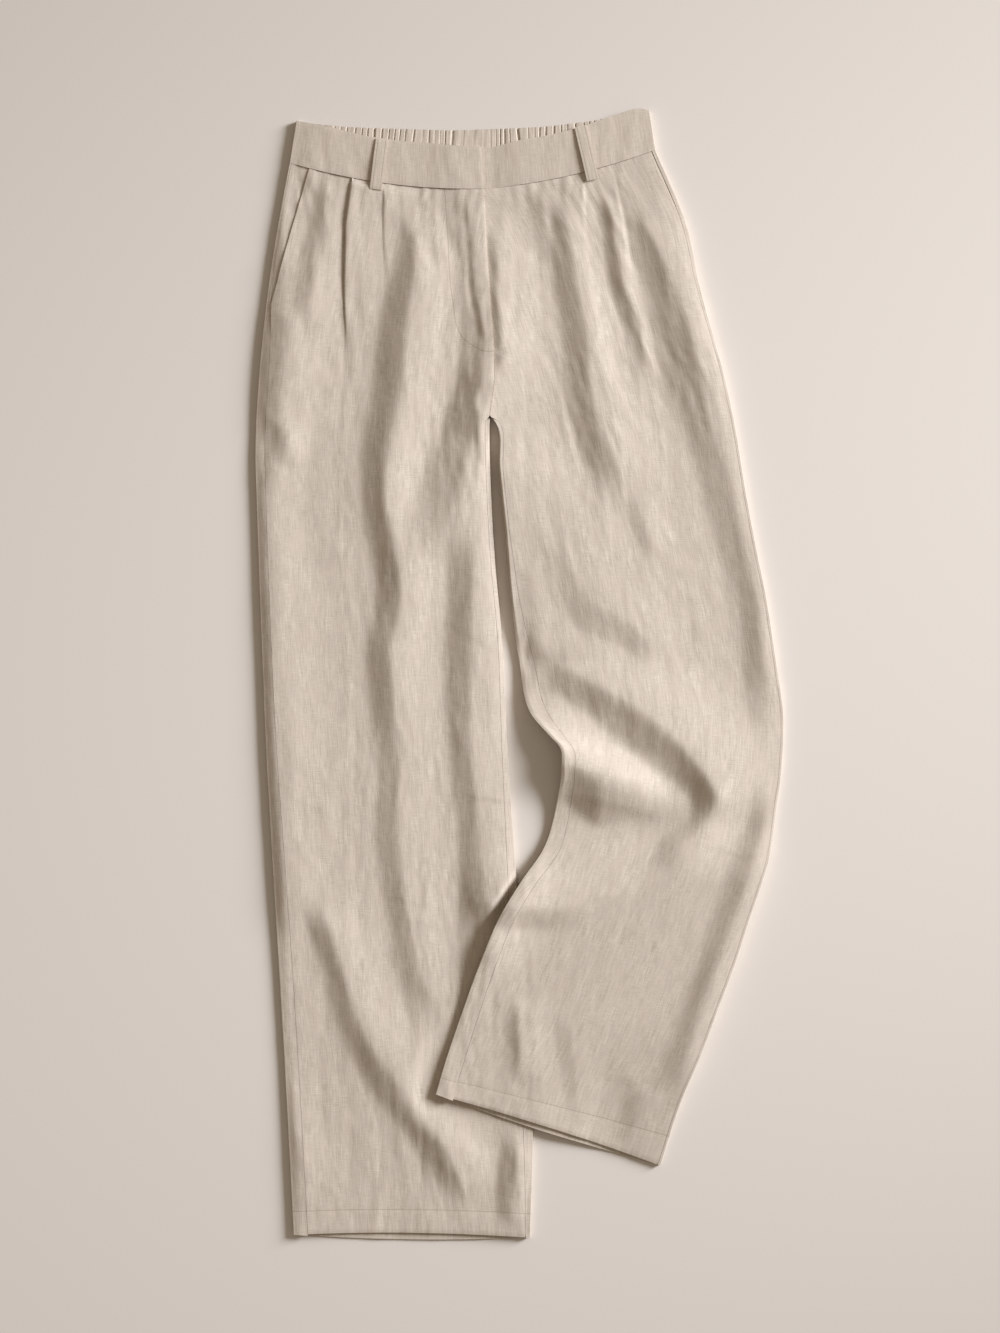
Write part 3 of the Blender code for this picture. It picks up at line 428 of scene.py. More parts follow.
def surface_under_left(x, y):
    """Height of what the left leg lies on: the right leg where they cross, else the floor."""
    fallen = ease((past_right_leg(x, y) - 2.0) / CROSSING_DRAPE)
    height = CROSSING_HEIGHT * crossed(y) * (1.0 - fallen)
    return height + sum(lift_at(lift, x, y) for lift in LIFTS)


def over_crossing(x, y):
    """How far the left leg's top is held up where its shin stays open like a tube."""
    beside = past_right_leg(x, y)
    drop = CROSSING_HEIGHT * ease((beside - 2.0) / CROSSING_DRAPE)
    tilt = SHIN_TILT * np.clip(beside + 40.0, 0.0, 190.0)
    above_hem = ease((y - left_hem_y(x)) / HEM_RUN)
    return surface_under_left(x, y) + crossed(y) * above_hem * (drop + tilt)


def pressed(x, y):
    """1 where the left leg lies on the right one, 0 clear of it."""
    edge = np.asarray([(row.inner_y, row.inner_x) for row in LEFT_LEG[LEFT_SHIN_ROW:]])[::-1]
    beside = np.maximum(np.interp(y, edge[:, 0], edge[:, 1]) - x - 1.0, 0.0)
    below = np.maximum(left_hem_y(x) - y - 2.0, 0.0)
    reach = PRESS_REACH + PRESS_REACH_MORE * ease((-310.0 - y) / 70.0)
    return 1.0 - ease(np.hypot(beside / reach, below / PRESS_REACH_BELOW))


print("right leg pressed at the middle of the shin:", round(float(pressed(-10.0, -300.0)), 2))

# %% [markdown]
# ## One leg's outline
#
# A leg is a stack of sections along its middle line, straight or bent.  `rows` spreads the
# grid's rows down that line, `section` reads the table between its rows, and `place` turns a
# distance down the leg and a distance in from its outer edge into a point on the floor.  So the
# left panels bend at the knee in the same code that makes the right ones straight.


# %% One leg's outline
CROTCH_Y = 243.6  # above this the two fronts meet in the centre seam
WAIST_POINTS = 80  # read from the curved waist seam


def below_waist(x, y):
    """How far a point lies below the waist seam."""
    seam = along(WAIST_SEAM, np.linspace(0.0, 1.0, WAIST_POINTS))
    return np.interp(x, seam[:, 0], seam[:, 1]) - y


class Leg:
    """One leg with its half of the seat, and the outline of its sections."""

    def __init__(self, stations, crossing, seed, outer_ridge, inner_ridge):
        self.table = np.asarray(stations, dtype=float)
        self.crossing = crossing
        self.seed = seed
        self.outer_ridge = outer_ridge
        self.inner_ridge = inner_ridge
        middle = (self.table[:, 0:2] + self.table[:, 2:4]) / 2.0
        steps = np.linalg.norm(np.diff(middle, axis=0), axis=1)
        self.knots = np.concatenate([[0.0], np.cumsum(steps)])
        self.length = self.knots[-1]

    def rows(self, spacing):
        """Distances down the leg of the grid's rows, with every station among them."""
        places = [0.0]
        for start, end in zip(self.knots[:-1], self.knots[1:]):
            count = max(1, math.ceil((end - start) / spacing))
            places += list(start + (end - start) * np.arange(1, count + 1) / count)
        return np.asarray(places)

    def column(self, name, down):
        """One of the table's columns, read straight between its rows."""
        return np.interp(down, self.knots, self.table[:, Station._fields.index(name)])

    def section(self, down):
        """The outline's sizes at distances down the leg, as named columns."""
        at = np.atleast_1d(down)
        outline = curve_at(self.knots, self.table[:, 0:4], at).T
        details = [np.interp(at, self.knots, column) for column in self.table[:, 4:].T]
        cut = Station(*outline, *details)
        # Above the crotch both legs end at the one centre seam.
        seat = np.asarray([row[2:4] for row in RIGHT_LEG if row.inner_y > CROTCH_Y])[::-1]
        centre_x = np.interp(cut.inner_y, seat[:, 1], seat[:, 0])
        return cut._replace(inner_x=np.where(cut.inner_y > CROTCH_Y, centre_x, cut.inner_x))

    def place(self, down, inward, sag_factor=1.0, lift=0.0):
        """Points (x, y) at a distance inward from the outer edge, and the section's width."""
        cut = self.section(down)
        columns = [np.reshape(value, (-1, 1)) for value in cut[0:4]]
        outer_x, outer_y, inner_x, inner_y = columns
        lift = np.reshape(lift, (-1, 1))
        sag = np.reshape(cut.sag, (-1, 1)) * np.reshape(sag_factor, (-1, 1))
        run_x = inner_x - outer_x
        run_y = inner_y + lift - outer_y
        width = np.hypot(run_x, run_y)
        u = inward / width
        x = outer_x + run_x * u
        y = outer_y + run_y * u - sag * 4.0 * u * (1.0 - u)
        return x, y, np.broadcast_to(width, x.shape)


# A ridge is given by how wide it climbs for its height, and by how slowly it falls behind.
RIGHT = Leg(RIGHT_LEG, crossing=False, seed=1, outer_ridge=(1.35, 24), inner_ridge=(36, 18))
LEFT = Leg(LEFT_LEG, crossing=True, seed=2, outer_ridge=(1.35, 20), inner_ridge=(0.75, 30))
print("leg lengths in mm:", round(RIGHT.length), round(LEFT.length))

# %% [markdown]
# ## The height of the cloth
#
# `cloth_height` is the heart of the garment: it gives the height of the cloth's upper face at
# any place.  The cloth rolls up from each edge, puffs towards the middle of the leg, is held
# down by the waistband and the hem, and carries the folds and the crumples.


# %% The height of the cloth
EDGE_ROLL = 0.35  # how far in from the outline the tight turn of an edge begins
PUFF_REACH = 32.0  # the puff rises over this distance in from an edge
FOLD_REACH = 12.0  # folds grow to their full depth over this distance in from an edge
WAIST_RISE = 110.0  # the puff grows over this distance below the waist seam
HEM_RISE = 90.0  # and again over this distance above the hem
# What is left of the puff, the folds and the crumples where the cloth is held down.
PUFF_AT_HEM = 0.35
FOLD_AT_HEM = 0.6
FOLD_AT_EDGE = 0.75
CREASE_AT_EDGE = 0.35
CREASE_AT_WAIST = 0.5
# How strong the crumples are from the hem to the waist: the seat creases most.
LIVELY = [(-540.0, 1.1), (-300.0, 0.95), (-80.0, 0.72), (150.0, 0.75), (300.0, 1.15), (480.0, 1.35)]
LOWEST = 3.2  # the front can't sink below this, because the back and its air lie under it
SETTLE = 0.7  # how softly it comes to rest there


def ridge(inward, roll, spread, fall):
    """A rounded ridge along an edge: it climbs over a width that grows with its height."""
    climb_width = spread * roll**2 + 0.5
    climb = np.sin(math.pi / 2.0 * np.clip(inward / climb_width, 0.0, 1.0))
    past = np.maximum(inward - climb_width, 0.0) / fall
    return roll * climb * np.exp(-(past**2) / 2.0)


def own_crumples(leg, down, inward, x, y):
    """A leg's crumples; beside the fly both fronts share them, because one lies on the other."""
    # What is added to each place only chooses which stretch of the noise is used.
    shared = crumple(x + 300.0, y + 600.0, 11)
    if not leg.crossing:
        return shared
    calmer_shin = 1.0 - 0.5 * ease((down - 520.0) / 120.0)
    own = crumple(inward + 40.0, down + 70.0, 29) * calmer_shin
    lap = 1.0 - ease((np.abs(x + 30.0) - 35.0) / 30.0)
    return own * (1.0 - lap) + shared * lap


def plain_height(leg, down, inward, x, y, width):
    """Height of the upper face from its edges, its puff and its folds, without crumples."""
    far = width - inward
    below = below_waist(x, y)
    # Above the crotch both fronts are one sheet, so only below it does the inner edge count.
    split = ease((CROTCH_Y + 6.0 - y) / 36.0)
    rise_out = 1.0 - np.exp(-np.maximum(inward - EDGE_ROLL, 0.0) / PUFF_REACH)
    rise_in = 1.0 - np.exp(-np.maximum(far - EDGE_ROLL, 0.0) / PUFF_REACH)
    puff = leg.column("puff", down) * rise_out * (1.0 - split * (1.0 - rise_in))
    rolls = ridge(inward - EDGE_ROLL, leg.column("outer_roll", down), *leg.outer_ridge)
    rolls = rolls + ridge(far - EDGE_ROLL, leg.column("inner_roll", down), *leg.inner_ridge)
    across = ease(inward / width)
    edges = leg.column("outer_edge", down) * (1.0 - across)
    edges = edges + leg.column("inner_edge", down) * across
    folds = sum(fold_height(fold, x, y) for fold in LARGE_FOLDS + SMALL_FOLDS)
    steady = ease(np.minimum(inward, far) / FOLD_REACH) * split
    steady = steady + ease(inward / FOLD_REACH) * (1.0 - split)
    folds = folds * grow(FOLD_AT_EDGE, steady) * ease(below / 28.0)
    hem = ease((leg.length - down) / HEM_RISE)
    height = edges + (puff + rolls) * ease(below / WAIST_RISE) * grow(PUFF_AT_HEM, hem)
    return height + folds * grow(FOLD_AT_HEM, hem)


def cloth_height(leg, down, inward, x, y, width):
    """Height of the cloth's upper face over the floor."""
    down = np.broadcast_to(down, x.shape)
    height = plain_height(leg, down, inward, x, y, width)
    if leg.crossing:
        height = height + lift_at(HOLLOW, x, y)
    creases = own_crumples(leg, down, inward, x, y) * np.interp(y, *zip(*LIVELY))
    creases = creases * grow(CREASE_AT_EDGE, ease((inward - 2.0) / 10.0))
    creases = creases * grow(CREASE_AT_WAIST, ease(below_waist(x, y) / 20.0))
    height = LOWEST + SETTLE * np.logaddexp(0.0, (height - LOWEST) / SETTLE) + creases
    if leg.crossing:
        return height + over_crossing(x, y) + lift_at(THUMB, x, y)
    press = pressed(x, y)
    return height * (1.0 - press) + PRESSED_HEIGHT * press


for leg in (RIGHT, LEFT):
    halfway = np.asarray([leg.length / 2.0])
    middle = leg.place(halfway, 0.0)[2] / 2.0
    knee = cloth_height(leg, halfway[:, None], middle, *leg.place(halfway, middle))
    print("height of the knee in mm:", round(float(knee[0, 0]), 1))

# %% [markdown]
# ## Making cloth
#
# Every panel is an open grid of points on its outer face, thickened inwards by a Solidify
# modifier.  Each point also keeps its place in the cloth, across and along the leg in
# millimetres, as a mesh attribute named `grain`: the weave follows it, so that the yarns turn
# with the bent leg as they do on real cut cloth.  A second attribute, `stitching`, keeps the
# distance from up to three lines of stitches, which the material then sinks into the weave.
# The cut edges of each panel are marked sharp, so the shading breaks there as on real cloth.


# %% Making cloth
CLOTH = 0.8  # linen of about 230 g per square metre, drawn a little thick so that edges show
CENTRE = (-0.5, 0.7)  # the outline's middle, which is the frame's origin
NO_STITCH = 99.0  # a distance from stitching too great for any stitch to show
MM_IN_METRE = 1000.0


def cloth(name, x, y, z, across, down, *stitches, thickness=CLOTH):
    """A cloth piece from a grid of points on its outer face."""
    rows, columns = x.shape
    points = np.stack([x - CENTRE[0], y - CENTRE[1], z], axis=-1).reshape(-1, 3) / MM_IN_METRE
    corner = np.arange(rows * columns).reshape(rows, columns)
    faces = np.stack(
        [corner[:-1, :-1], corner[1:, :-1], corner[1:, 1:], corner[:-1, 1:]], axis=-1
    )
    mesh = bpy.data.meshes.new(name)
    mesh.from_pydata(points.tolist(), [], faces.reshape(-1, 4).tolist())
    grain = mesh.attributes.new("grain", "FLOAT_VECTOR", "POINT")
    place = np.stack([np.broadcast_to(across, x.shape), np.broadcast_to(down, x.shape),
                      np.zeros(x.shape)], axis=-1)
    grain.data.foreach_set("vector", place.reshape(-1))
    # How far each point lies from up to three lines of stitching, on one side or the other.
    lines = [np.broadcast_to(line, x.shape) for line in stitches]
    lines += [np.full(x.shape, NO_STITCH)] * (3 - len(lines))
    stitching = mesh.attributes.new("stitching", "FLOAT_VECTOR", "POINT")
    stitching.data.foreach_set("vector", np.stack(lines, axis=-1).reshape(-1))
    mesh.shade_smooth()
    # An edge that only one face uses is a cut edge.
    used = np.zeros(len(mesh.loops), dtype=np.int64)
    mesh.loops.foreach_get("edge_index", used)
    crisp = mesh.attributes.new("sharp_edge", "BOOLEAN", "EDGE")
    crisp.data.foreach_set("value", np.bincount(used, minlength=len(mesh.edges)) == 1)
    piece = bpy.data.objects.new(name, mesh)
    bpy.context.scene.collection.objects.link(piece)
    wall = piece.modifiers.new("cloth", "SOLIDIFY")
    wall.thickness = thickness / MM_IN_METRE
    wall.offset = -1.0
    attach(piece, "root")
    print(name, rows, "x", columns, "points")
    return piece


def turned_over(grids):
    """The same sheet with its columns reversed, which turns its outer face over."""
    return [np.broadcast_to(grid, grids[0].shape)[:, ::-1] for grid in grids]


# %% [markdown]
# ## The fronts
#
# Each front has two pleats.  A pleat is cloth folded over on itself and caught in the waist
# seam; below the seam it opens and dies out.  Here the columns of the grid bunch up along each
# pleat's folded edge and trace the fold's S shape in section: under the edge, back round it,
# and away over the top.  That gives the crisp line and the shadow of a real folded edge, which
# a bump could not cast.

# %% Pleats, pocket mouths and fly
GRID = 2.6  # spacing of the grid in mm, fine enough for the smallest crumples
PLEAT_RUN = 60.0  # behind a pleat's edge its extra layer sinks away over this distance
PLEAT_FADE = 120.0  # above a pleat's lower end it grows to its full step over this distance
# A pleat of strength 1 stands fully folded, and a weaker one lies almost flat.
Pleat = namedtuple("Pleat", "strength route")
RIGHT_PLEATS = [
    Pleat(1.0, [(-160, 478), (-164.5, 440), (-165.5, 410), (-166.9, 366), (-166.2, 335),
                (-166.5, 290)]),
    Pleat(0.35, [(-129, 472), (-128.5, 425), (-127.5, 388.6), (-127, 366), (-125, 340)]),
]
LEFT_PLEATS = [
    Pleat(0.25, [(88, 490), (94, 461), (100.5, 430), (103.6, 398), (112, 345)]),
    Pleat(0.27, [(60.3, 480), (62.0, 445.6), (65.0, 406), (73, 350)]),
]
RIGHT_MOUTH = [(-199.8, 485), (-213.8, 435), (-224.0, 398), (-232.0, 367), (-238.0, 345)]
LEFT_MOUTH = [(122.0, 499), (133.5, 471), (145.0, 445)]
FLY_STITCH = [(-73, 475), (-71.8, 459), (-68.5, 410), (-65.6, 365.8), (-63.7, 353), (-60, 330),
              (-54, 319), (-44, 311.6), (-35.3, 307), (-23.8, 306.2), (-12, 306)]
# A pleat's folded edge in section: how far each point lies past the edge when the pleat is
# flat and when it is folded, and how high it stands when folded.
PLEAT_SECTION = [(-4.0, -3.0, 0.0), (-3.0, -0.6, 0.0), (-2.0, 1.4, 0.05), (-1.0, 2.4, 0.3),
                 (0.0, 1.7, 0.8), (1.0, 0.5, 1.05), (2.0, 0.0, 1.5), (3.0, 0.5, 2.0),
                 (4.0, 1.8, 2.3), (5.0, 4.0, 2.35)]


def pleat_columns(guide, fold):
    """Places across and heights of the columns that trace one pleat's folded edge."""
    flat, folded, height = np.asarray(PLEAT_SECTION).T
    places = guide[:, None] + flat * (1.0 - fold[:, None]) + folded * fold[:, None]
    return places, height * fold[:, None]


def between(start, end, count):
    """Evenly spread columns between two limits, without the limits themselves."""
    share = np.arange(1, count) / count
    return start[:, None] + (end - start)[:, None] * share


def beside_line(points, x, y):
    """Distance from a line, counted below zero on its right-hand side."""
    line = along(points, np.linspace(0.0, 1.0, LINE_POINTS))
    apart, side, _ = to_pieces(line, x.ravel(), y.ravel())
    nearest = apart.argmin(axis=0)
    every = np.arange(x.size)
    sign = np.where(side[nearest, every] < 0.0, -1.0, 1.0)
    return (apart[nearest, every] * sign).reshape(x.shape)


def in_from_edge(leg, cut, line):
    """How far in from the leg's outer edge a line lies, on each section."""
    side = 1.0 if leg is RIGHT else -1.0
    return side * (line_x(line, cut.outer_y) - cut.outer_x)


print("pleats:", len(RIGHT_PLEATS), "on the right front,", len(LEFT_PLEATS), "on the left front")

# %% [markdown]
# A front's grid runs from the side seam, or from the slanted pocket mouth above it, to the
# inseam or the fly.  The right front laps over the left one, so it stands a little higher along
# the fly, and the left front runs on under it.  Below the waist seam the extra cloth eased into
# the seam puckers in short creases that fan out.

# %% The front panels
SEAM_GAP = 0.24  # mm between two panels at a seam
LAP_WIDTH = 25.0  # how far the fronts lap at the fly
LAP_RISE = 1.2  # how far the upper one is lifted there
FLY_STOP_Y = 306.0  # the lower end of the fly
LAP_START = 44.0  # the lift begins this far below the fly's end
LAP_GROWS = 18.0  # and is full this much higher up
LAP_RUN = 16.0  # beside the lap the lifted cloth comes down over this distance
POCKET_RISE = 0.6  # how far a front is lifted where it lies on the pocket facing
POCKET_RUN = 25.0  # below the mouth it comes down over this distance
MOUTH_EDGE = 10.0  # beside the mouth it stays lifted this far in
MOUTH_RUN = 22.0  # and comes down over this distance
PLEAT_START = 9.0  # pleats and steps are pressed flat at the waist seam and full below this
EDGE_DROP = 0.5  # how far the hem's edge rounds off
SEAM_DROP = 0.15  # and how far the cloth does so at the waist seam
DROP_REACH = 1.4
HEM_DEPTH = 22.5  # from the hem's edge up to its stitching
EDGE_STRIP = 1.6  # width of the grid's last column, narrow so that the edge rounds off
GAP_COLUMNS = (18, 12)  # columns before the first pleat, and between the first and the second
LAST_COLUMNS = 46  # columns from the second pleat to the inseam or the fly
STITCH_DENT = 0.12  # how deep a line of stitches sinks
PUCKERS = [(5.6, 70.0, 71, 0.36), (13.0, 60.0, 73, 0.30)]  # width, length, seed, height


def front_columns(leg, cut, width, outer, inner, pleats):
    """Places across of a front's columns, their heights in the pleats, and the pleats' steps."""
    blocks = [outer[:, None]]
    heights = [np.zeros((len(outer), 1))]
    steps = []
    start = outer
    for pleat, count in zip(pleats, GAP_COLUMNS):
        low_y = pleat.route[-1][1]
        guide = in_from_edge(leg, cut, pleat.route)
        # Below the pleat its columns run on at a steady share of the leg's width.
        last = np.nonzero(cut.outer_y > low_y)[0][-1]
        guide = np.where(cut.outer_y > low_y, guide, guide[last] / width[last] * width)
        fold = pleat.strength * ease((cut.outer_y - low_y) / PLEAT_FADE) ** 0.8
        places, rise = pleat_columns(guide, fold)
        gap = between(start, places[:, 0], count)
        blocks += [gap, places]
        heights += [np.zeros(gap.shape), rise]
        start = places[:, -1]
        steps.append((start, rise[:, -1]))
    gap = between(start, inner - EDGE_STRIP, LAST_COLUMNS)
    blocks += [gap, inner[:, None] - EDGE_STRIP, inner[:, None]]
    heights += [np.zeros(gap.shape), np.zeros((len(outer), 2))]
    return np.concatenate(blocks, axis=1), np.concatenate(heights, axis=1), steps


def puckers(x, y, below):
    """Fine creases that fan out below the waist seam."""
    fan = x + 0.6 * below * noise(x / 38.0, 0.3, 72)
    creases = sum(height * noise(fan / width, y / length, seed)
                  for width, length, seed, height in PUCKERS)
    return bump_at(below - 4.0, 17.0) * creases


def front_grid(leg, pleats, mouth, under_lap):
    """Points on a front's upper face."""
    rows = leg.rows(GRID)
    cut = leg.section(rows)
    width = leg.place(rows, 0.0)[2][:, 0]
    mouth_y = mouth[-1][1]
    slanted = np.maximum(in_from_edge(leg, cut, mouth), cut.outer_seam)
    outer = np.where(cut.outer_y > mouth_y, slanted, cut.outer_seam + SEAM_GAP / 2.0)
    inner = width - cut.inner_seam - SEAM_GAP / 2.0
    if under_lap:
        inner = inner + LAP_WIDTH * ease((cut.inner_y - FLY_STOP_Y + 6.0) / 12.0)
    inward, height, steps = front_columns(leg, cut, width, outer, inner, pleats)
    x, y, width = leg.place(rows, inward)
    down = np.broadcast_to(rows[:, None], x.shape)
    below = below_waist(x, y)
    z = cloth_height(leg, down, inward, x, y, width)
    grown = ease(below / PLEAT_START)
    for edge, rise in steps:
        past = inward - edge[:, None]
        sinking = rise[:, None] * (1.0 - ease(past / PLEAT_RUN))
        z = z + grown * np.where(past > 0.01, sinking, 0.0)
    z = z + height * grown
    over_facing = POCKET_RISE * ease((y - mouth_y + POCKET_RUN) / POCKET_RUN)
    z = z + over_facing * (1.0 - ease((inward - outer[:, None] - MOUTH_EDGE) / MOUTH_RUN))
    if not under_lap:
        lap = LAP_RISE * ease((y - FLY_STOP_Y + LAP_START) / LAP_GROWS)
        z = z + lap * (1.0 - ease((width - inward - LAP_WIDTH + 4.0) / LAP_RUN))
        z = z - 0.3 * lap * bump_at(width - inward, 0.8)
    z = z + puckers(x, y, below) * ease(inward / 30.0)
    # Every raw edge is turned under, so the cloth rounds off at the seams and the hem.
    z = z - EDGE_DROP * bump_at(leg.length - down, DROP_REACH) - SEAM_DROP * bump_at(below, DROP_REACH)
    from_hem_stitch = leg.length - down - HEM_DEPTH
    z = z - STITCH_DENT * bump_at(from_hem_stitch, 1.5)
    from_fly_stitch = NO_STITCH if under_lap else beside_line(FLY_STITCH, x, y)
    return x, y, z, inward, down, from_hem_stitch, from_fly_stitch


right_front = cloth("right_front_linen",
                    *front_grid(RIGHT, RIGHT_PLEATS, RIGHT_MOUTH, under_lap=False))
left_front = cloth("left_front_linen",
                   *turned_over(front_grid(LEFT, LEFT_PLEATS, LEFT_MOUTH, under_lap=True)))

# %% [markdown]
# ## The backs
#
# A back panel is wider than its front.  It lies flat on the floor, rolls up round both edges of
# the leg and comes over the top as a narrow strip to the side seam and the inseam.  A pressed
# trouser leg stands almost square on the floor at its edges, mostly four to six millimetres
# high, so the roll is a very tight turn: it goes straight up and then over.

# %% Columns round a back
NOSE = 0.06  # a low power takes the turned edge almost straight up to its full height
TURN_POINTS = 9  # points round a turned edge
STRIP_POINTS = 6  # from the side seam over the top to the edge
UNDER_POINTS = 24  # across the underside
INSEAM_POINTS = 8  # from the inner edge over the top to the inseam
SEAT_SPACING = 0.9  # mm between the last columns where the seat meets the centre seam


def turned_edge():
    """An edge's turn from the floor to the top: place across, and share of the height."""
    angles = np.radians(np.linspace(-90.0, 90.0, TURN_POINTS))
    return EDGE_ROLL * (1.0 - np.cos(angles)), (0.5 * (1.0 + np.sin(angles))) ** NOSE


def back_columns(cut, width):
    """Columns round a back: place across, share of the height, and where the height is read."""
    wide = width[:, None]
    roll, turn = turned_edge()
    outer = (cut.outer_seam - SEAM_GAP / 2.0)[:, None]
    inner = (cut.inner_seam - SEAM_GAP / 2.0)[:, None]
    strip = outer + (EDGE_ROLL - outer) * np.linspace(0.0, 0.85, STRIP_POINTS)
    outer_edge = np.broadcast_to(roll[::-1], (len(width), TURN_POINTS))
    across = np.linspace(0.0, 1.0, UNDER_POINTS + 2)[1:-1]
    under = EDGE_ROLL + (wide - 2 * EDGE_ROLL) * across
    inseam = wide - EDGE_ROLL - (inner - EDGE_ROLL) * np.linspace(0.15, 1.0, INSEAM_POINTS)
    leg_end = np.concatenate([wide - roll, inseam], axis=1)
    leg_share = np.concatenate([turn, np.ones(INSEAM_POINTS)])
    # The seat has no inner edge, so there the same columns lie flat and meet the centre seam.
    last = TURN_POINTS + INSEAM_POINTS - 1
    seat_end = wide - SEAM_GAP / 2.0 - SEAT_SPACING * np.arange(last, -1, -1)
    on_leg = (cut.inner_y < CROTCH_Y)[:, None]
    end = np.where(on_leg, leg_end, seat_end)
    end_share = np.where(on_leg, leg_share, 0.0)
    crest = end.copy()
    crest[:, :TURN_POINTS] = np.where(on_leg, np.minimum(end, wide - EDGE_ROLL), end)[:, :TURN_POINTS]
    inward = np.concatenate([strip, outer_edge, under, end], axis=1)
    share = np.concatenate([np.ones(strip.shape), np.broadcast_to(turn[::-1], outer_edge.shape),
                            np.zeros(under.shape), end_share], axis=1)
    read_at = np.concatenate([strip, np.full(outer_edge.shape, EDGE_ROLL), under, crest], axis=1)
    return inward, share, read_at


def over_the_top(inward, width, share):
    """How far the cloth has run over the top before it turns under, below zero at the far edge."""
    near_edge = np.minimum(inward, width - inward)
    return np.where(share > 0.5, near_edge, 0.0) * np.sign(width / 2.0 - inward)


columns = STRIP_POINTS + UNDER_POINTS + INSEAM_POINTS + 2 * TURN_POINTS
print("points round a back:", columns)

# %% The back panels
BACK_WAIST_LIFT = 17.0  # how much higher the back's straight waist seam lies at the centre
BACK_HEM_DROP = 6.2  # how much lower the middle of the back's hem shows than the front's
HEM_SAG = 3.0  # how far the front's hem bows up in the middle, near enough for both legs
BACK_SLACK = 0.9  # mm by which the back stands off the floor in places


def back_grid(leg):
    """Points round a back: side seam, turned edge, underside, turned edge, inseam."""
    rows = leg.rows(GRID)
    cut = leg.section(rows)
    lift = BACK_WAIST_LIFT * ease(1.0 - rows / 60.0)
    hem = (1.0 - BACK_HEM_DROP / HEM_SAG) * ease((rows - leg.length + 30.0) / 30.0)
    width = leg.place(rows, 0.0, lift=lift)[2]
    inward, share, read_at = back_columns(cut, width[:, 0])
    x, y, _ = leg.place(rows, inward, hem, lift)
    top_x, top_y, top_width = leg.place(rows, read_at, hem, lift)
    down = np.broadcast_to(rows[:, None], x.shape)
    z = cloth_height(leg, down, read_at, top_x, top_y, top_width) * share
    if leg.crossing:
        z = z + surface_under_left(x, y) - surface_under_left(top_x, top_y) * share
    clear = ease((inward - 6.0) / 14.0) * ease((width - inward - 6.0) / 14.0)
    slack = 0.5 + 0.5 * noise(inward / 22.0 + 9.0, down / 60.0, leg.seed + 40)
    z = z + BACK_SLACK * slack * clear * (share < 0.01)
    from_hem_stitch = leg.length - down - HEM_DEPTH
    z = z - STITCH_DENT * (share > 0.99) * bump_at(from_hem_stitch, 1.5)
    across = inward - 2.0 * over_the_top(inward, width, share)
    return x, y, z, across, down, from_hem_stitch


right_back = cloth("right_back_linen", *turned_over(back_grid(RIGHT)))
left_back = cloth("left_back_linen", *back_grid(LEFT))

# %% [markdown]
# ## The pocket facings
#
# The slanted pocket mouth is an edge of the front.  What shows in the mouth is the hip piece,
# a second layer that runs on under the front.

# %% The pocket facings
FACING_DIP = 0.35  # how far the facing sinks under the front
FACING_LAP = 5.0  # how far it runs on below the mouth
FACING_UNDER = 8.0  # and in past the mouth, under the front


def facing_grid(leg, mouth):
    """The hip piece, from the side seam to a little way under the front."""
    rows = leg.rows(GRID)
    rows = rows[leg.section(rows).outer_y > mouth[-1][1] - FACING_LAP]
    cut = leg.section(rows)
    start = (cut.outer_seam + SEAM_GAP / 2.0)[:, None]
    end = np.maximum(in_from_edge(leg, cut, mouth)[:, None], start) + FACING_UNDER
    inward = start + (end - start) * np.linspace(0.0, 1.0, 12)
    x, y, width = leg.place(rows, inward)
    down = np.broadcast_to(rows[:, None], x.shape)
    z = cloth_height(leg, down, inward, x, y, width)
    z = z - FACING_DIP * ease((inward - start) / 6.0) - 0.25 * bump_at(inward - start, 1.1)
    return x, y, z, inward, down


right_facing = cloth("right_facing_linen", *facing_grid(RIGHT, RIGHT_MOUTH))
left_facing = cloth("left_facing_linen", *turned_over(facing_grid(LEFT, LEFT_MOUTH)))

# %% [markdown]
# ## The front waistband
#
# The front of the band is smooth, because it is stiffened, and it laps right over left like the
# fly.  Each half turns round the garment's side and ends a little way under it, and its edges
# round off where the cloth is folded.

# %% The front waistband
EDGE_HEIGHT = 5.6  # height of the band's face over the floor
BAND_CLOTH = 1.1  # thickness of the stiffened cloth
BAND_TURN = 9.0  # how far the band runs on under the side
BAND_DEPTH = 40.0  # its depth in the cloth, from the seam up to the fold
BAND_COLUMNS = 90
BAND_ROWS = 22
BAND_CRUMPLE = 0.45  # stiffened cloth crumples less than the legs do
BAND_SINK = 1.3  # the left half lies this much lower where it runs under the right one
RIGHT_BAND_TOP = [(-212, 526), (-177, 518.7), (-149.5, 512), (-123.5, 507.8), (-87, 504.5),
                  (-58, 501.6), (-36.5, 500.7)]
LEFT_BAND_TOP = [(122.5, 535.5), (117.8, 536.8), (84.6, 529), (51.7, 518), (22, 511),
                 (-2, 506.9), (-28.5, 500.7), (-36.5, 500.4)]


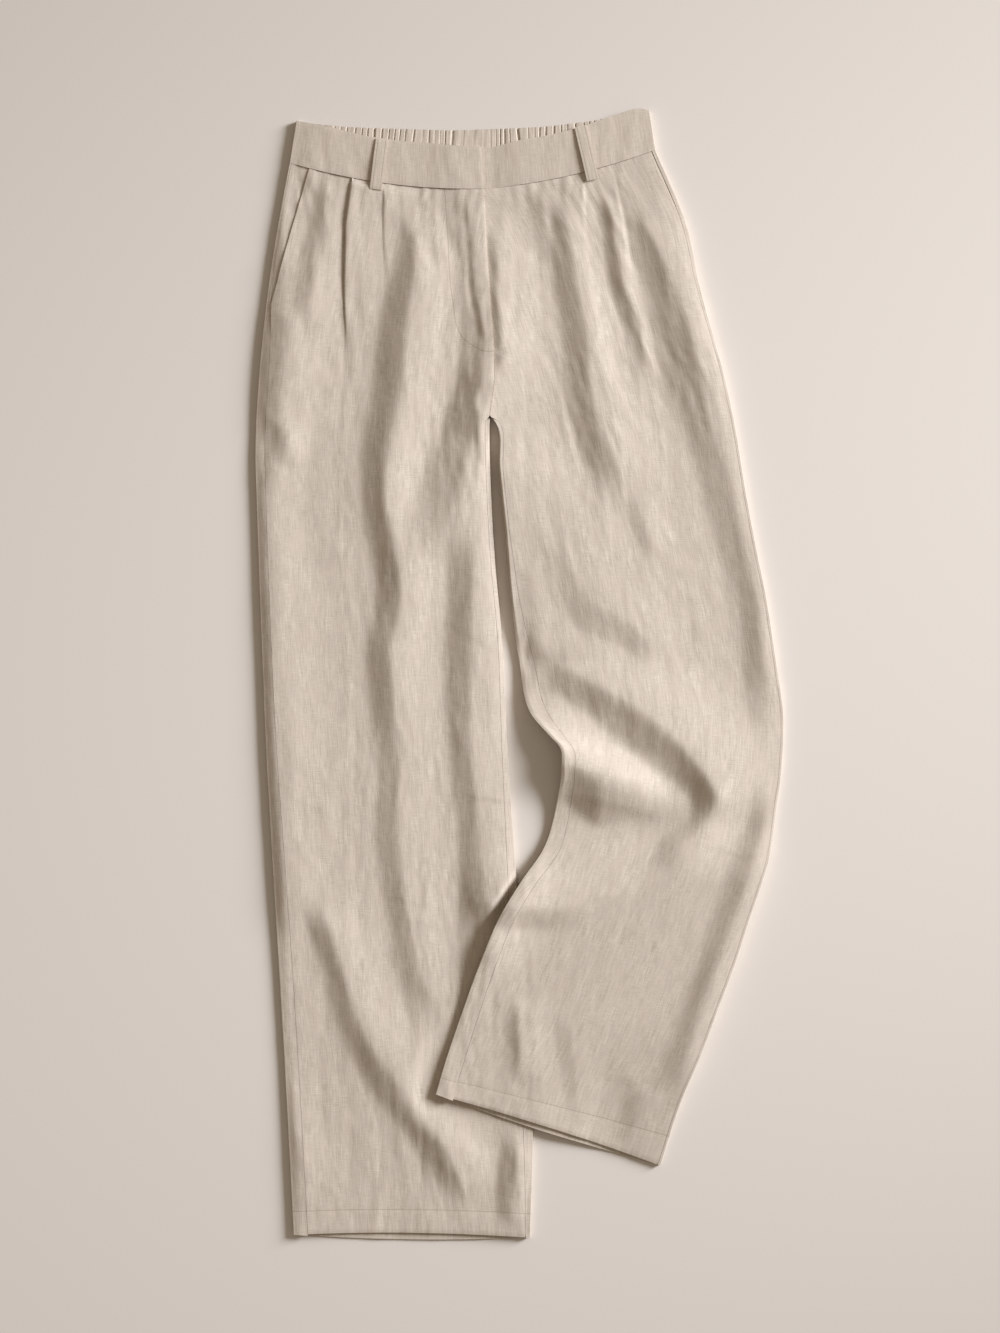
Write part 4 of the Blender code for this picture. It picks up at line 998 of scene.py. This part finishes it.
def front_band_grid(leg, top_edge, under_lap):
    """Half of the front band: round its side end, then flat to the lap."""
    roll, turn = turned_edge()
    width = float(leg.place(0.0, 0.0)[2][0, 0])
    reach = width + (LAP_WIDTH if under_lap else 0.0) - SEAM_GAP / 2.0
    flat = EDGE_ROLL + (reach - EDGE_ROLL) * np.arange(1, BAND_COLUMNS + 1) / BAND_COLUMNS
    inward = np.concatenate([[BAND_TURN, 6.0], roll, flat])
    height = EDGE_HEIGHT * np.concatenate([[0.0, 0.0], turn, np.ones(BAND_COLUMNS)])
    low_x, low_y, _ = leg.place(0.0, inward)
    back_y = leg.place(0.0, inward, 0.0, BACK_WAIST_LIFT)[1][0]
    turned = (inward < EDGE_ROLL + SEAM_GAP) | (height < EDGE_HEIGHT / 2.0)
    low_y = np.where(turned, back_y, low_y[0]) + SEAM_GAP
    high = along(top_edge, np.clip(inward / width, 0.0, 1.0))
    high[:, 0] -= np.maximum(inward - width, 0.0)
    up = np.linspace(0.0, 1.0, BAND_ROWS)[:, None]
    x = low_x[0] * (1.0 - up) + high[:, 0] * up
    y = low_y * (1.0 - up) + high[:, 1] * up
    on_top = height > 5.0
    z = height + BAND_CRUMPLE * crumple(x + 300.0, y * 1.3, 51) * on_top
    if not under_lap:
        z = z + LAP_RISE * on_top * (1.0 - ease((width - inward - LAP_WIDTH - 4.0) / 34.0))
    tall = BAND_DEPTH * up
    edge = bump_at(tall, 1.0) + bump_at(BAND_DEPTH - tall, 1.0) + 2.4 * bump_at(reach - inward, 0.9)
    z = z + on_top * (0.4 - 0.12 * edge)
    # The right half is pressed down by as much at the garment's side.
    if under_lap:
        z = z - BAND_SINK * (1.0 - ease((x + 27.0) / 24.0))
    else:
        z = z - BAND_SINK * bump_at(inward, 16.0) * height / EDGE_HEIGHT
    return x, y, z, inward, 500.0 + tall


right_band = cloth("right_waistband_linen", *turned_over(
    front_band_grid(RIGHT, RIGHT_BAND_TOP, under_lap=False)), thickness=BAND_CLOTH)
left_band = cloth("left_waistband_linen", *front_band_grid(
    LEFT, LEFT_BAND_TOP, under_lap=True), thickness=BAND_CLOTH)

# %% [markdown]
# ## The back waistband
#
# The back of the band is elasticated: the elastic pulls the linen into small upright gathers,
# uneven in width and depth, which show above the front band's edge.  A gather here is a narrow
# slit between two soft rolls.  Its place, width, depth and lean all wander a little, because
# even rows of equal gathers would look like a machined part.

# %% The back waistband
GATHERS = 50
GATHER_HEIGHT = 2.2  # of the rolls between the slits
BAND_POINTS = 1041  # about twenty points to each gather
BACK_BAND_TOP = [(-177, 520.9), (-130.6, 518.7), (-101.7, 517.8), (-58, 516.8),
                 (-25.7, 518), (13.9, 519.7), (51.7, 523.5), (77, 527.3), (98, 531.3)]


def back_seam_y(x):
    """The height of the back waist seam, the straight upper edge of each back."""
    seam_x = []
    seam_y = []
    for leg in (RIGHT, LEFT):
        width = float(leg.place(0.0, 0.0, lift=BACK_WAIST_LIFT)[2][0, 0])
        line = leg.place(0.0, np.asarray([0.0, width]), 0.0, BACK_WAIST_LIFT)
        seam_x += list(line[0][0])
        seam_y += list(line[1][0])
    order = np.argsort(seam_x)
    return np.interp(x, np.asarray(seam_x)[order], np.asarray(seam_y)[order])


def gather_height(share, up, x):
    """Height of the gathers, from the place along the band and the place up it."""
    drift = 0.9 * noise(share * 17.0, 3.3, 61)
    lean = 0.16 * noise(share * 14.0, up * 1.3 + 7.7, 63)
    phase = GATHERS * share + drift + lean
    slit_width = np.clip(0.09 + 0.12 * noise(share * 23.0, 5.2, 64), 0.075, 0.22)
    slit = bump_at(phase - np.round(phase), slit_width)
    # At the centre back the cloth is caught flat by its seam.
    smooth = 1.0 - 0.85 * bump_at(x + 38.0, 13.0)
    deep = smooth * np.clip(0.75 + 1.1 * noise(share * 27.0 + 0.3, up * 0.7, 62), 0.1, 1.5)
    uneven = 0.28 * noise(share * 70.0, up * 1.5, 65)
    ends = ease(share / 0.04) * ease((1.0 - share) / 0.04)
    return (GATHER_HEIGHT + uneven - deep * slit) * ends


def back_band_grid():
    """The elasticated back band, gathered into small upright folds."""
    share = np.linspace(0.0, 1.0, BAND_POINTS)
    low_ends = []
    high_ends = []
    for leg, top_edge in ((RIGHT, RIGHT_BAND_TOP), (LEFT, LEFT_BAND_TOP)):
        x, _, width = leg.place(0.0, BAND_TURN + SEAM_GAP)
        low_ends.append(float(x[0, 0]))
        end = along(top_edge, [(BAND_TURN + SEAM_GAP) / float(width[0, 0])])
        high_ends.append(tuple(end[0]))
    high = along([high_ends[0]] + BACK_BAND_TOP + [high_ends[1]], share)
    low_x = low_ends[0] + (low_ends[1] - low_ends[0]) * share
    low_y = back_seam_y(low_x) + SEAM_GAP
    up = np.linspace(0.0, 1.0, 16)[:, None]
    x = low_x * (1.0 - up) + high[:, 0] * up
    y = low_y * (1.0 - up) + high[:, 1] * up
    fold = gather_height(share, up, x)
    # The gathers also make the band's upper edge wavy.
    y = y + 0.5 * (fold - 1.6) * up
    return x, y, CLOTH + fold, x + 300.0, 540.0 + BAND_DEPTH * up


back_band = cloth("back_waistband_linen", *turned_over(back_band_grid()))

# %% [markdown]
# ## The belt loops
#
# A belt loop is a strip folded in three and stitched down at both ends, over the band's upper
# edge and just below its seam, so it stands a little clear of the band between them.

# %% The belt loops
LOOP_WIDTH = 11.4
LOOP_CLOTH = 0.9  # thickness
LOOP_CLEAR = 0.75  # how far its upper end stands off the band
LOOP_RISE = 0.9  # how much further off its lower half stands, where it crosses the seam
LOOP_STITCH = 2.0  # from the loop's side to its line of stitches
# Each loop's middle line, from its upper end to its lower end.
LOOPS = {
    "right_belt_loop": [(-131.0, 508.0), (-136.8, 460.3)],
    "left_belt_loop": [(57.0, 520.5), (69.0, 469.3)],
}


def loop_grid(upper, lower):
    """A belt loop's upper face, along its middle line from the band's edge downwards."""
    upper = np.asarray(upper)
    run = np.asarray(lower) - upper
    length = np.hypot(*run)
    across = np.asarray([-run[1], run[0]]) / length
    share = np.linspace(0.0, 1.0, 40)[:, None]
    middle = upper + run * share
    sides = np.linspace(-1.0, 1.0, 13) * LOOP_WIDTH / 2.0
    x = middle[:, 0:1] + across[0] * sides
    y = middle[:, 1:2] + across[1] * sides
    lift = EDGE_HEIGHT + LOOP_CLEAR + LOOP_CLOTH + LOOP_RISE * ease(share / 0.5)
    ends = bump_at(share * length, 1.5) + bump_at((1.0 - share) * length, 1.5)
    from_side = LOOP_WIDTH / 2.0 - np.abs(sides)
    from_stitch = LOOP_STITCH - from_side
    z = lift - 0.3 * ends - 0.12 * bump_at(from_side, 0.9) - 0.06 * bump_at(from_stitch, 0.6)
    return x, y, z, sides + 700.0, 500.0 - length * share, from_stitch


loops = {name: cloth(name + "_linen", *loop_grid(*ends), thickness=LOOP_CLOTH)
         for name, ends in LOOPS.items()}

# %% [markdown]
# ## Linen
#
# The cloth is natural flax in a plain weave, washed and not bleached.  Flax yarn is uneven:
# thick places called slubs run along single threads, so the cloth looks hatched with fine
# pale and dark lines in both directions.  The surface is matte, because flax fibre is rough in
# a weave, with a faint sheen at a low angle from the fibre ends.  Linen's index of refraction
# is about 1.5, and its roughness starts near 0.9.  Colours are written as the usual hex values
# and turned to the linear values that a shader wants.


# %% Colours and nodes
def linear(hex_colour):
    """An sRGB hex colour as the linear RGBA that a shader wants."""
    channels = [int(hex_colour[i : i + 2], 16) / 255.0 for i in (1, 3, 5)]
    curve = [c / 12.92 if c <= 0.04045 else ((c + 0.055) / 1.055) ** 2.4 for c in channels]
    return (*curve, 1.0)


def add(tree, kind, settings=None, links=None):
    """Add a node; settings go to its properties or sockets, links feed its sockets."""
    made = tree.nodes.new("ShaderNode" + kind)
    for name, value in (settings or {}).items():
        if hasattr(made, name):
            setattr(made, name, value)
        else:
            made.inputs[name].default_value = value
    for name, source in (links or {}).items():
        tree.links.new(source, made.inputs[name])
    return made


print("the pale yarn in linear light:", [round(value, 3) for value in linear("#DACCBD")[:3]])

# %% [markdown]
# Slubs, threads and drifting tone are all the same thing at different sizes: noise stretched
# along the yarn and spread to a clear dark and pale.  Real yarns lie about 0.7 mm apart, which
# is too fine to show in the render, so the threads here are drawn at 1.1 mm.

# %% Threads and tone
def threads(tree, grain, across_mm, along_mm, seed):
    """Long thin noise, for slubs that run along the yarn."""
    place = add(tree, "Mapping",
                {"vector_type": "POINT", "Scale": (1.0 / across_mm, 1.0 / along_mm, 1.0),
                 "Location": (seed * 13.7, seed * 7.1, seed)}, {"Vector": grain})
    return add(tree, "TexNoise", {"Scale": 1.0, "Detail": 1.0, "Roughness": 0.5},
               {"Vector": place.outputs["Vector"]}).outputs["Fac"]


def fraction(tree, value, low, high, strength=1.0):
    """A value spread from its usual limits to 0 and a strength."""
    return add(tree, "MapRange", {"From Min": low, "From Max": high, "To Max": strength},
               {"Value": value}).outputs["Result"]


def total(tree, values):
    """The sum of several values."""
    result = values[0]
    for value in values[1:]:
        both = add(tree, "Math", {"operation": "ADD"}, {0: result, 1: value})
        result = both.outputs["Value"]
    return result


def blend(tree, share, first, second):
    """A mix of two colours, each one a socket or a hex colour."""
    mix = add(tree, "Mix", {"data_type": "RGBA"}, {"Factor": share})
    for socket, colour in (("A", first), ("B", second)):
        if isinstance(colour, str):
            mix.inputs[socket].default_value = linear(colour)
        else:
            tree.links.new(colour, mix.inputs[socket])
    return mix.outputs["Result"]


# %% [markdown]
# The linen itself sets its yarns between a pale and a dark tone, lets a rosier tone drift
# through in soft patches, and darkens and sinks the lines of stitching.  The same pattern that
# colours the yarns also raises them, so every pale slub catches the light.

# %% The linen
# Width and length in mm and strength of the warp, the weft and the longer streaks.
YARNS = [(1.1, 12.0, 0.40), (9.0, 1.1, 0.34), (2.6, 20.0, 0.36)]
DRIFT = (17.0, 31.0, 0.55)  # the same for the patches of rosier tone
STITCH_REACH = 0.8  # a stitched line shows this far to each side, in mm
STITCH_DEPTH = 0.6  # how dark and how deep it is drawn, from 0 to 1


def stitched(tree):
    """How strongly the lines of stitching show at a place, from the cloth's own attribute."""
    lines = add(tree, "Attribute", {"attribute_name": "stitching"}).outputs["Vector"]
    parts = add(tree, "SeparateXYZ", {}, {"Vector": lines})
    sunk = []
    for axis in ("X", "Y", "Z"):
        apart = add(tree, "Math", {"operation": "ABSOLUTE"}, {0: parts.outputs[axis]})
        sunk.append(fraction(tree, apart.outputs["Value"], STITCH_REACH, 0.1, STITCH_DEPTH))
    return total(tree, sunk)


def linen(name, pale, dark, rosy, seam):
    """Washed plain-weave linen, with its lines of stitching."""
    material = bpy.data.materials.new(name)
    material.use_nodes = True
    tree = material.node_tree
    tree.nodes.clear()
    grain = add(tree, "Attribute", {"attribute_name": "grain"}).outputs["Vector"]
    yarn = total(tree, [fraction(tree, threads(tree, grain, width, length, seed), 0.3, 0.7, strength)
                        for seed, (width, length, strength) in enumerate(YARNS, start=1)])
    tone = blend(tree, yarn, dark, pale)
    width, length, strength = DRIFT
    patches = threads(tree, grain, width, length, len(YARNS) + 1)
    tone = blend(tree, fraction(tree, patches, 0.35, 0.65, strength), tone, rosy)
    stitches = stitched(tree)
    colour = blend(tree, stitches, tone, seam)
    relief = add(tree, "Math", {"operation": "SUBTRACT"}, {0: yarn, 1: stitches})
    bump = add(tree, "Bump", {"Strength": 0.36, "Distance": 0.0002},
               {"Height": relief.outputs["Value"]})
    shader = add(tree, "BsdfPrincipled",
                 {"Roughness": 0.88, "IOR": 1.5, "Sheen Weight": 0.12,
                  "Sheen Roughness": 0.5, "Specular IOR Level": 0.25},
                 {"Base Color": colour, "Normal": bump.outputs["Normal"]})
    add(tree, "OutputMaterial", {}, {"Surface": shader.outputs["BSDF"]})
    print("material", name, "with", len(tree.nodes), "nodes")
    return material


leg_linen = linen("washed_plain_weave_linen", "#DACCBD", "#B4A899", "#CABBAD", "#AA9C8C")
band_linen = linen("interfaced_waistband_linen", "#DACCBD", "#BAAD9E", "#CCBDAF", "#AEA08F")

# %% [markdown]
# ## What each piece stands for
#
# Each cloth shell takes the place of the plain solid of the same piece, which is hidden, and takes
# its finish.

# %% What each piece stands for
# The cut is its width and length in metres, and the share of that rectangle that is cloth.
Sheet = namedtuple("Sheet", "piece node slot material cut share rests_on")
LEG_FINISH = ("linen", leg_linen)
BAND_FINISH = ("waistband_linen", band_linen)
LOOP_CUT = (LOOP_WIDTH / MM_IN_METRE, 0.05)
SHEETS = [
    Sheet(right_back, "right_back", *LEG_FINISH, (0.36, 1.11), 0.80, ["floor"]),
    Sheet(left_back, "left_back", *LEG_FINISH, (0.36, 1.11), 0.80, ["floor", "right_front"]),
    Sheet(right_front, "right_front", *LEG_FINISH, (0.30, 1.07), 0.75, ["right_back"]),
    Sheet(left_front, "left_front", *LEG_FINISH, (0.32, 1.07), 0.75, ["left_back"]),
    Sheet(right_facing, "right_pocket_facing", *LEG_FINISH, (0.03, 0.14), 0.6, ["right_back"]),
    Sheet(left_facing, "left_pocket_facing", *LEG_FINISH, (0.012, 0.062), 0.85, ["left_back"]),
    Sheet(right_band, "right_waistband", *BAND_FINISH, (0.21, 0.042), 1.0, ["back_waistband"]),
    Sheet(left_band, "left_waistband", *BAND_FINISH, (0.21, 0.042), 1.0, ["back_waistband"]),
    Sheet(back_band, "back_waistband", *BAND_FINISH, (0.39, 0.042), 1.0, ["floor"]),
    Sheet(loops["right_belt_loop"], "right_belt_loop", *BAND_FINISH, LOOP_CUT, 1.0,
          ["right_waistband"]),
    Sheet(loops["left_belt_loop"], "left_belt_loop", *BAND_FINISH, LOOP_CUT, 1.0,
          ["left_waistband"]),
]
for sheet in SHEETS:
    sheet.piece.data.materials.append(sheet.material)
    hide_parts(sheet.node)
print("pieces:", len(SHEETS))

# %% [markdown]
# ## The floor
#
# The garment lies on a seamless pale board, painted matte, which runs so far that no edge of
# it shows from above.  It lies 0.3 mm below the cloth, so the two never share a face.

# %% The floor
FLOOR_GAP = 0.0003
FLOOR_SIZE = 12.0


def plain_floor():
    """A wide pale floor."""
    bpy.ops.mesh.primitive_plane_add(size=FLOOR_SIZE, location=(0.0, 0.0, -FLOOR_GAP))
    floor = bpy.context.object
    floor.name = "floor"
    material = bpy.data.materials.new("painted_studio_board")
    material.use_nodes = True
    shader = material.node_tree.nodes["Principled BSDF"]
    shader.inputs["Base Color"].default_value = linear("#DFD6CE")
    shader.inputs["Roughness"].default_value = 0.9
    shader.inputs["Specular IOR Level"].default_value = 0.2
    floor.data.materials.append(material)
    return floor


floor = plain_floor()
print("floor", FLOOR_SIZE, "m wide, with", len(SHEETS), "sheets laid on it")

# %% [markdown]
# ## The light
#
# One large soft light stands far off to the wearer's left and a little towards the waist, low
# enough that the far flanks of the folds fall into shade.  It is a spot with a wide soft edge,
# so the light falls off gently across the floor.  The world adds a weak warm light from all
# round, which keeps the shadows open.

# %% The light
AIM = Vector((-0.1, -0.1, 0.0))  # the place on the floor that it points at
KEY_SPREAD = 39.0  # degrees
key_data = bpy.data.lights.new("softbox", "SPOT")
key_data.shadow_soft_size = 1.25
key_data.spot_size = math.radians(KEY_SPREAD)
key_data.spot_blend = 1.0
key_data.energy = 3740.0
key_data.color = linear("#F3F8FF")[:3]
key = bpy.data.objects.new("softbox", key_data)
key.location = (5.1, 2.2, 1.95)
key.rotation_euler = (AIM - key.location).to_track_quat("-Z", "Y").to_euler()
bpy.context.scene.collection.objects.link(key)

world = bpy.data.worlds.new("studio")
world.use_nodes = True
world.node_tree.nodes["Background"].inputs["Color"].default_value = linear("#FFEFD8")
world.node_tree.nodes["Background"].inputs["Strength"].default_value = 0.30
bpy.context.scene.world = world
print("key light", round((key.location - AIM).length, 2), "m from the garment")

# %% [markdown]
# ## The camera
#
# The camera looks straight down from three metres.  Its sensor is as tall as a full frame's,
# and its lens is just long enough to take in the garment with some floor round it.

# %% The camera
FRAME_HEIGHT = 1.2664  # metres of floor from the frame's top to its bottom
CAMERA_HEIGHT = 3.0
CAMERA_PLACE = (-0.0185, 0.0074, CAMERA_HEIGHT)
camera_data = bpy.data.cameras.new("camera")
camera_data.sensor_fit = "VERTICAL"
camera_data.sensor_height = 24.0
camera_data.lens = camera_data.sensor_height * CAMERA_HEIGHT / FRAME_HEIGHT
camera = bpy.data.objects.new("camera", camera_data)
camera.location = CAMERA_PLACE
bpy.context.scene.collection.objects.link(camera)
bpy.context.scene.camera = camera
bpy.context.scene.view_settings.view_transform = "Standard"
print("lens in mm:", round(camera_data.lens, 1))
